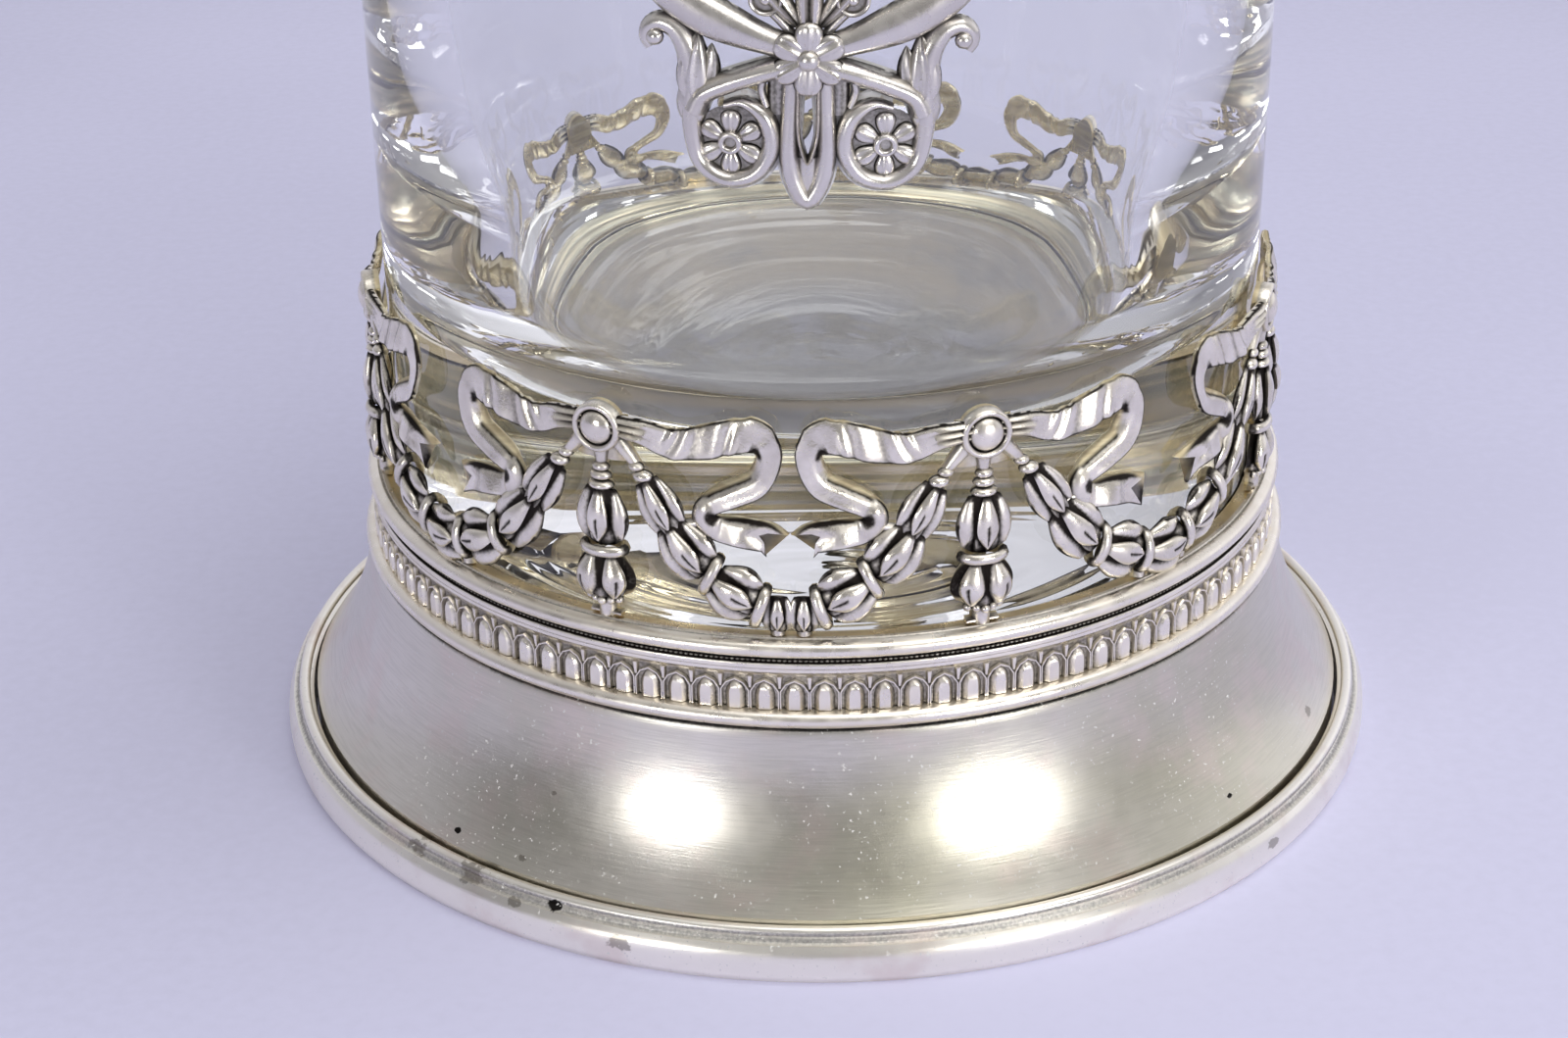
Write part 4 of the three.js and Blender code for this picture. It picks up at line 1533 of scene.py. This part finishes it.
    def build(self) -> Piece:
        """Builds the strip all round."""
        middle = Shape()
        self.drop(middle)
        self.button(middle)
        sides = {at_seam: self.half(at_seam) for at_seam in (False, True)}
        last = self.bows - 1
        strip = Shape()
        for i in range(self.bows):
            angle = self.seam + self.seam_half + i * self.step()
            work = [(middle.copy(), angle), (sides[i == last].copy(), angle),
                    (sides[i == 0].copy().mirror(), angle)]
            if i < last:
                work.append((self.keystone(), angle + self.step() / 2))
            for shape, degrees in work:
                strip.add(shape.wrap(degrees, lambda z: self.radius))
        place = Place("holder", "gallery_plate", ("gallery_strip",))
        return finished("garland_gallery", strip, self.finish.material(), place, 55)


@dataclass
class Seat:
    """The pan soldered inside the collar and the loose felt disc on it.

    Attributes:
        pan_radius: Outside radius of the pan.
        pan_wall: Thickness of its upturned edge.
        sheet: Thickness of its floor.
        disc_round: Rounding of the felt's edge.
        disc_wave: Depth of the waves in the felt's face.
        finish: Finish of the pan.
    """

    pan_radius: float = field(default_factory=lambda: reach("seat_pan"))
    pan_wall: float = 0.65
    sheet: float = 0.95
    disc_round: float = 0.2
    disc_wave: float = 0.02
    finish: SilverPlate = SilverPlate("seat_plate", (0.54, 0.47, 0.32, 1), (0.42, 0.35, 0.22, 1),
                                      tarnish_share=0.5, polish=0.3, nook_shade_and_patina=0.2)

    DISC_SIDES = 120
    DISC_RINGS = 12

    def pan(self) -> Piece:
        """Builds the pan with its rolled edge."""
        foot, top, out = foot_of("seat_pan"), top_of("seat_pan"), self.pan_radius
        floor, wall = foot + self.sheet, self.pan_radius - self.pan_wall
        edge = arc((out - self.pan_wall / 2, top - self.pan_wall / 2), self.pan_wall / 2, 0, 180, 6)
        bend = arc((wall - 0.4, floor + 0.4), 0.4, 0, -90, 4)
        shape = Shape()
        shape.turn([(0, foot), (out - 0.3, foot), (out, foot + 0.3), *edge, *bend,
                    (wall * 0.5, floor), (0, floor)])
        place = Place("holder", "seat_metal", ("seat_pan",))
        return finished("seat_dish", shape, self.finish.material(), place)

    def disc(self) -> Piece:
        """Builds the felt disc, a little uneven and soft at its edge."""
        foot, top, out = foot_of("seat_pad"), top_of("seat_pad"), reach("seat_pad")
        soft = self.disc_round
        rings = [out * i / self.DISC_RINGS for i in range(self.DISC_RINGS)]
        upper = arc((out - soft, top - soft), soft, 90, 0, 3)
        lower = arc((out - soft, foot + soft), soft, 0, -90, 3)
        shape = Shape()
        face, back = [(r, top) for r in rings], [(r, foot) for r in reversed(rings)]
        shape.turn([*face, *upper, *lower, *back], self.DISC_SIDES)
        for vert in shape.mesh.verts:
            x, y, z = vert.co
            wave = math.sin(310 * x) * math.cos(270 * y) + math.sin(91 * x + 77 * y)
            vert.co.z -= self.disc_wave * (1 + wave / 2) if z > (foot + top) / 2 else 0
        disc = finished("felt_disc", shape, Felt().material(), Place("pad", "felt", ("seat_pad",)))
        return disc


@dataclass
class Beaker:
    """The thick glass with its solid base and rounded cavity.

    Attributes:
        base_radius: Outside radius carried down to z = 0.
        flare: Growth of the outside radius for each millimetre of height.
        rim_round: Radius of the rim's two rounds.
        wall: Thickness of the wall at the rim.
        cavity_wall: Radius and height of points down the inside.
        cavity_floor: Radius and height of points of the floor, from its edge to the axis.
        heel: Rounding of its lower edge.
        ripples: Height, length and phase of the rings pressed into its foot.
    """

    base_radius: float = 41.7
    flare: float = 0.007
    rim_round: float = 2.6
    wall: float = 6.1
    cavity_wall: tuple[Pair, ...] = (
        (36.4, 118), (36, 92), (34.5, 70), (32.75, 57.5), (31.8, 50.8), (30.9, 47.7), (29.35, 45.3),
        (27.25, 43.4), (24.7, 42.1),
    )
    cavity_floor: tuple[Pair, ...] = ((21.4, 41.45), (12, 41.4), (0, 41.4))
    heel: float = 1.3
    ripples: tuple[Triple, ...] = ((0.008, 2.1, 0.0), (0.02, 5.6, 1.1))

    SIDES = 240
    FOOT_RINGS = 72
    WALL_HEIGHTS = (30, 40, 60, 80, 100, 120, 135)

    def radius(self, z: float) -> float:
        """Outside radius at a height."""
        return self.base_radius + self.flare * z

    def build(self) -> Piece:
        """Builds the glass."""
        foot, top, soft = foot_of("glass_beaker"), top_of("glass_beaker"), self.rim_round
        out = self.radius(top)
        inside = out - self.wall
        outer = [(self.radius(z), z) for z in self.WALL_HEIGHTS]
        lip = [*arc((out - soft, top - soft), soft, 0, 90, 8),
               *arc((inside + soft, top - soft), soft, 90, 180, 8)]
        hollow = Line([(inside, top - soft), *self.cavity_wall, *self.cavity_floor])
        flat = self.radius(foot) - self.heel
        heel = arc((flat, foot + self.heel), self.heel, -85, 0, 14)
        rings = [flat * i / self.FOOT_RINGS for i in range(self.FOOT_RINGS + 1)]
        base = [(r, foot + sum(high * (1 + math.sin(math.tau * r / long + phase))
                               for high, long, phase in self.ripples)) for r in rings]
        shape = Shape()
        shape.turn([*base, *heel, *outer, *lip, *hollow.points(60)[1:]], self.SIDES)
        place = Place("glass", "clear_glass", ("glass_beaker",))
        return finished("beaker_glass", shape, ClearGlass().material(), place, 60)


@dataclass
class Ornament:
    """The silver casting cemented to the front of the glass, and its cement.

    Attributes:
        glass: The beaker that it lies on.
        angle: Degrees from the front, towards +X.
        tilt: Degrees that it leans.
        pivot_z: Height that it leans about.
        bedding: Gap between the glass and the work.
        cement: Thickness of the cement.
        rise: Height of the main bands.
        flower: Middle of the flower over the loop.
        crown_flower: Middle of the flower at the top.
        rosette: Middle of the right rosette.
        bead_dish: Middle of the right dish with its bead.
        curl_eye: Middle of the right scroll's eye.
        loop_side: Right side of the loop at the foot.
        opening_side: Right side of the slot in the loop.
        stem_line: The right stem from the flower to the volute.
        volute_line: The right volute round its rosette.
        leaf_line: The right side leaf.
        curl_line: The right scroll beyond the leaf.
        wreath_line: The right branch of the wreath.
        palm_line: The right palm leaf in the wreath.
        finish: Finish of the casting.
    """

    glass: Beaker
    angle: float = -1.05
    tilt: float = -1.2
    pivot_z: float = 80.0
    bedding: float = 0.25
    cement: float = 0.3
    rise: float = 1.35
    flower: Pair = (0, 81.2)
    crown_flower: Pair = (0, 110.6)
    rosette: Pair = (6.17, 73.8)
    bead_dish: Pair = (3.4, 85.9)
    curl_eye: Pair = (12.2, 82.3)
    loop_side: tuple[Pair, ...] = (
        (0, 68.95), (0.55, 69.5), (1.2, 71.0), (1.5, 73.0), (1.42, 75.6), (1.2, 79.6),
    )
    opening_side: tuple[Pair, ...] = ((0, 72.4), (0.42, 73.4), (0.74, 75.2), (0.76, 78.8))
    stem_line: tuple[Pair, ...] = (
        (1.2, 80.6), (4.0, 79.75), (6.6, 78.75), (8.4, 77.75), (9.1, 76.4),
    )
    volute_line: tuple[Pair, ...] = (
        (8.9, 79.4), (9.3, 77.0), (9.25, 74.3), (8.55, 71.9), (6.5, 70.6), (4.2, 71.2),
        (2.95, 73.4), (3.35, 75.9), (5.1, 77.2), (6.7, 76.9),
    )
    leaf_line: tuple[Pair, ...] = ((8.85, 76.6), (9.15, 79.4), (8.8, 82.9))
    curl_line: tuple[Pair, ...] = (
        (9.2, 79.4), (9.6, 81.4), (10.5, 82.9), (11.75, 83.45), (12.75, 83.0), (13.0, 82.15),
        (12.55, 81.45),
    )
    wreath_line: tuple[Pair, ...] = (
        (1.9, 82.0), (5.2, 83.15), (8.6, 84.65), (11.5, 86.7), (14.0, 90.4), (14.6, 95.5),
        (12.6, 101.5), (8.6, 106.8), (2.2, 110.2),
    )
    palm_line: tuple[Pair, ...] = ((0.6, 83.4), (4.2, 88.6), (5.9, 94.4))
    finish: SilverPlate = SilverPlate(
        "ornament_plate", (0.82, 0.785, 0.73, 1), (0.50, 0.45, 0.405, 1), tarnish_share=0.25,
        polish=0.25, cloud=7.0, nook=1.2, nook_shade_and_patina=0.6,
    )

    PETALS = 6
    CASTING_GAP = 0.08  # between the cement's face and the casting's back

    def bed(self) -> float:
        """Depth of the casting's back over the glass."""
        return self.cement + self.CASTING_GAP

    def on_glass(self, shape: Shape) -> Shape:
        """Leans flat work and lays it round the glass."""
        return shape.lean((0, self.pivot_z), self.tilt).wrap(
            self.angle, lambda z: self.glass.radius(z) + self.bedding)

    def through(self, side: Sequence[Pair]) -> list[Pair]:
        """A side's line and its mirror image, joined at the side's first point."""
        return [*((-x, z) for x, z in reversed(side)), *side[1:]]

    def blossom(self, shape: Shape, centre: Pair, span: Pair, width: float, lift: Pair) -> None:
        """Adds the petals of a flower.

        Args:
            shape: The flat work.
            centre: Middle of the flower.
            span: Radius where a petal starts and ends.
            width: Width of a petal.
            lift: Depth of a petal's back, and its rise.
        """
        bed, rise = lift
        band = Band(width, rise, bed, Crown.PETAL, Taper.PETAL, steps=12, around=24)
        radii = (span[0], sum(span) / 2, span[1])
        for i in range(self.PETALS):
            angle = math.radians(90 + 360 * i / self.PETALS)
            x, z = math.cos(angle), math.sin(angle)
            shape.strip([(centre[0] + r * x, centre[1] + r * z) for r in radii], band)

    def rosette_work(self, shape: Shape) -> None:
        """Adds the sunk rosette inside a volute."""
        bed = self.bed()
        ground = [(0, bed - 0.05, 0.6), (3.0, bed - 0.05, 0.6), (3.0, bed + 0.25, 0.6),
                  (1.0, bed + 0.2, 0.5), (0, bed + 0.2, 0.5)]
        shape.boss(self.rosette, ground, 28)
        self.blossom(shape, self.rosette, (0.85, 2.75), 1.75, (bed + 0.2, 0.65))
        ring = bulge((0.72, bed + 0.75), (0.26, 0.26), 180, 4)
        shape.boss(self.rosette, [(0, bed, 0.6), (0.98, bed, 0.8), *ring, (0.4, bed + 0.55, 0.5),
                                  (0, bed + 0.55, 0.4)], 20)

    def curls(self, shape: Shape) -> None:
        """Adds the side leaf, the scroll beyond it and the eye of the scroll."""
        bed, rise = self.bed(), self.rise
        shape.strip(self.curl_line, Band(2.5, rise, bed, taper=Taper.TAIL, steps=36, around=16))
        shape.ball((*self.curl_eye, bed + 0.75), (0.72, 0.72, 0.65))
        leaf = Band(3.0, 1.1 * rise, bed + 0.15, Crown.PETAL, Taper.LEAF, steps=20, around=24)
        shape.strip(self.leaf_line, leaf)
        lobe = Band(1.9, 0.8 * rise, bed, Crown.PETAL, Taper.LEAF, steps=14, around=16, dark=0.1)
        shape.strip([(8.6, 77.6), (7.9, 79.8), (7.75, 81.9)], lobe)
        trunk = [(9.15, 74.8), (9.35, 77.2), (9.3, 79.8)]
        shape.strip(trunk, Band(2.7, 0.85 * rise, bed, taper=Taper.LEAF, steps=14, around=16))

    def side(self) -> Shape:
        """The right side of the casting as flat work."""
        bed, rise = self.bed(), self.rise
        shape = Shape()
        shape.strip(self.volute_line, Band(2.0, rise, bed, taper=Taper.SCROLL, steps=64, around=20))
        shape.strip(self.stem_line, Band(1.9, 1.15 * rise, bed + 0.1, steps=28, around=20))
        branch = Band(3.6, 1.2 * rise, bed + 0.1, taper=Taper.BRANCH, steps=64, around=28)
        shape.strip(self.wreath_line, branch)
        palm = Band(2.1, 0.8 * rise, bed, Crown.LEAF, Taper.LEAF, steps=24, around=20)
        shape.strip(self.palm_line, palm)
        bar = [(2.35, 76.3), (2.4, 78.0), (2.35, 79.8)]
        shape.strip(bar, Band(1.75, 0.45, bed, Crown.REEDED, steps=8, around=20, dark=0.45))
        strap = [(3.55, 79.3), (3.75, 78.3), (3.35, 76.9)]
        shape.strip(strap, Band(0.7, 0.6, bed, steps=8, around=12))
        self.rosette_work(shape)
        self.curls(shape)
        dish = bulge((1.2, bed + 0.6), (0.2, 0.25), 180, 4)
        shape.boss(self.bead_dish, [(0, bed, 0.6), (1.4, bed, 0.6), *dish, (0.95, bed + 0.35, 0.5),
                                    (0, bed + 0.35, 0.5)], 22)
        shape.ball((*self.bead_dish, bed + 0.55), (0.5, 0.5, 0.5))
        twig = [(1.3, 83.0), (2.3, 84.1), (3.0, 84.8)]
        shape.strip(twig, Band(0.8, 0.6, bed, steps=8, around=12))
        return shape

    def heart(self) -> Shape:
        """The middle of the casting as flat work: loop, upright leaf and flowers."""
        bed, rise = self.bed(), self.rise
        shape = Shape()
        loop = Band(1.7, 0.8 * rise, bed, steps=60, around=20)
        shape.strip(self.through(self.loop_side), loop)
        slot = Band(0.5, 1.05 * rise, bed, steps=48, around=16)
        shape.strip(self.through(self.opening_side), slot)
        tip = Band(1.9, 0.5 * rise, bed, steps=6, around=12, dark=0.1)
        shape.strip([(0, 69.2), (0, 71.0), (0, 72.7)], tip)
        leaf = Band(2.5, rise, bed + 0.05, Crown.LEAF, Taper.LEAF, steps=30)
        shape.strip([(0, 81.8), (0, 90), (0, 97.8)], leaf)
        for centre in (self.flower, self.crown_flower):
            self.blossom(shape, centre, (0.3, 3.1), 2.4, (bed + 1.0, 0.8))
            boss = bulge((0, bed + 1.55), (0.85, 0.65), 90, 6)
            shape.boss(centre, [(0, bed, 1.0), (0.9, bed, 1.0), (0.9, bed + 1.4, 0.8), *boss], 22)
        return shape

    def casting(self) -> Piece:
        """Builds the silver casting."""
        right = self.side()
        left = right.copy().mirror()
        whole = self.heart()
        whole.add(right)
        whole.add(left)
        place = Place("glass", "ornament_plate", ("front_ornament",))
        return finished("ornament_casting", self.on_glass(whole), self.finish.material(), place, 50)

    def bedding_cement(self) -> Piece:
        """Builds the cement that shows as a white edge round the casting."""
        shape = Shape()
        spread = Band(2.1, self.cement, steps=64, around=16)
        shape.strip(self.through(self.loop_side), spread)
        for flip in (1, -1):
            for line in (self.volute_line, self.stem_line):
                shape.strip([(flip * x, z) for x, z in line], spread)
        place = Place("glass", "cement", ("ornament_cement",))
        return finished("cement_bed", self.on_glass(shape), Plaster().material(), place)


@dataclass(frozen=True)
class Lamp:
    """A soft square lamp that looks at the object.

    Attributes:
        name: Its name.
        azimuth: Degrees from the front, towards +X.
        height: Degrees above the horizon.
        distance: Distance from the object, in millimetres.
        size: Side of the lamp, in millimetres.
        power: Power in watts.
        beam: Angle of its beam, in degrees.
    """

    name: str
    azimuth: float
    height: float
    distance: float
    size: float
    power: float
    beam: float = 180.0

    AIM = (0, 0, 20)  # place that it looks at, in millimetres

    def hang(self) -> None:
        """Hangs the lamp in the scene."""
        a, e = math.radians(self.azimuth), math.radians(self.height)
        way = Vector((math.sin(a) * math.cos(e), -math.cos(a) * math.cos(e), math.sin(e)))
        data = bpy.data.lights.new(self.name, "AREA")
        data.size = self.size * MM
        data.energy = self.power
        data.spread = math.radians(self.beam)
        lamp = put(self.name, data)
        lamp.location = (way * self.distance + Vector(self.AIM)) * MM
        lamp.rotation_mode = "QUATERNION"
        lamp.rotation_quaternion = way.to_track_quat("Z", "Y")


@dataclass
class Studio:
    """Pale paper floor, two soft lamps beside the camera, a soft top light and the camera.

    Attributes:
        paper: Colour of the floor.
        floor_radius: Radius of the floor, in millimetres.
        sky_low: Light from the horizon.
        sky_high: Light from overhead.
        sky_front: Light from the horizon in front.
        sky_left: Share of the horizon's light that is left on the left.
        lamps: The two lamps beside the camera and the top light.
        camera_at: Place of the camera, in millimetres.
        pitch: Angle that it looks down, in radians.
        yaw: Angle that it looks aside, in radians.
        roll: Angle that it is turned about its axis, in radians.
        lens: Focal length for a 36 mm sensor.
        bounces: Bounces that light may take in the glass.
    """

    paper: Colour = (0.73, 0.725, 0.93, 1)
    floor_radius: float = 2600.0
    sky_low: Colour = (0.95, 0.95, 1.03, 1)
    sky_high: Colour = (0.46, 0.455, 0.46, 1)
    sky_front: Colour = (0.36, 0.355, 0.365, 1)
    sky_left: Colour = (0.48, 0.48, 0.5, 1)
    lamps: tuple[Lamp, ...] = (
        Lamp("left_lamp", -33, 10, 900, 165, 0.0615, 40),
        Lamp("right_lamp", 37, 11, 900, 228, 0.123, 40),
        Lamp("top_light", 50, 68, 1000, 900, 4.2),
    )
    camera_at: Triple = (0.0, -280.0, 157.283)
    pitch: float = 0.45956
    yaw: float = -0.0141
    roll: float = -0.01618
    lens: float = 70.81
    bounces: int = 28

    SENSOR = 36.0
    NEAR = 0.01  # nearest distance that the camera sees, in metres
    PAPER_DIM = 0.93  # share of the paper's colour in its dimmer fibres

    def camera(self) -> None:
        """Sets the camera at the photograph's place."""
        sin_p, cos_p = math.sin(self.pitch), math.cos(self.pitch)
        forward = Vector((math.sin(self.yaw) * cos_p, math.cos(self.yaw) * cos_p, -sin_p))
        aside = Vector((math.cos(self.yaw), -math.sin(self.yaw), 0))
        upright = aside.cross(forward)
        right = math.cos(self.roll) * aside + math.sin(self.roll) * upright
        up = -math.sin(self.roll) * aside + math.cos(self.roll) * upright
        data = bpy.data.cameras.new("camera")
        data.sensor_width = self.SENSOR
        data.lens = self.lens
        data.clip_start = self.NEAR
        camera = put("camera", data)
        turn = Matrix((right, up, -forward)).transposed().to_4x4()
        camera.matrix_world = Matrix.Translation(Vector(self.camera_at) * MM) @ turn
        bpy.context.scene.camera = camera

    def floor(self) -> None:
        """Lays the paper floor."""
        part = bmesh.new()
        bmesh.ops.create_circle(part, cap_ends=True, segments=96, radius=self.floor_radius * MM)
        mesh = bpy.data.meshes.new("paper_floor")
        part.to_mesh(mesh)
        part.free()
        g = Graph("paper")
        pulp = g.noise(1.5, 4)
        drift = g.noise(180, 2)
        tone = g.math("ADD", g.math("MULTIPLY", pulp, 0.3), g.math("MULTIPLY", drift, 0.7))
        dim = (*(self.PAPER_DIM * x for x in self.paper[:3]), 1)
        g.set(Base_Color=g.mix(g.ramp(tone, 0.35, 0.65), dim, self.paper), Roughness=0.9,
              Specular_IOR_Level=0.1)
        mesh.materials.append(g.material)
        floor = put("paper_floor", mesh)

    def sky(self) -> None:
        """Lights the room softly: palest behind, dimmer overhead, in front and to the left."""
        world = bpy.data.worlds.new("room")
        world.use_nodes = True
        nodes = Nodes(world.node_tree)
        way = nodes.add("TexCoord").outputs["Generated"]
        parts = nodes.add("SeparateXYZ", {0: way}).outputs

        def blend(axis: str, low: float, high: float, near: object, far: object,
                  kind: str = "MIX") -> Socket:
            """Goes from one colour to another along an axis of the room."""
            inputs = {"Value": parts[axis], "From Min": low, "From Max": high}
            return nodes.mix(nodes.add("MapRange", inputs).outputs[0], near, far, kind)

        horizon = blend("Y", 0.2, -0.45, self.sky_low, self.sky_front)
        horizon = blend("X", 0.5, -0.9, horizon, self.sky_left, "MULTIPLY")
        colour = blend("Z", 0.4, 0.85, horizon, self.sky_high)
        nodes.feed(world.node_tree.nodes["Background"].inputs["Color"], colour)
        bpy.context.scene.world = world

    def light_paths(self) -> None:
        """Lets light bounce often enough to get out of the solid glass again."""
        cycles = bpy.context.scene.cycles
        cycles.max_bounces = self.bounces
        cycles.glossy_bounces = self.bounces
        cycles.transmission_bounces = self.bounces

    def build(self) -> None:
        """Sets up floor, light and camera."""
        self.floor()
        self.sky()
        for lamp in self.lamps:
            lamp.hang()
        self.camera()
        self.light_paths()
        bpy.context.scene.view_settings.view_transform = "Standard"


def main() -> None:
    """Builds the object's pieces in order, then the studio."""
    logging.basicConfig(level=logging.INFO, format="%(name)s: %(message)s")
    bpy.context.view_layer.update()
    foot = Foot()
    foot.rim()
    foot.shell()
    Collar().build()
    Gallery().build()
    seat = Seat()
    seat.pan()
    seat.disc()
    beaker = Beaker()
    beaker.build()
    ornament = Ornament(beaker)
    ornament.bedding_cement()
    ornament.casting()
    Studio().build()


if __name__ == "__main__":
    main()
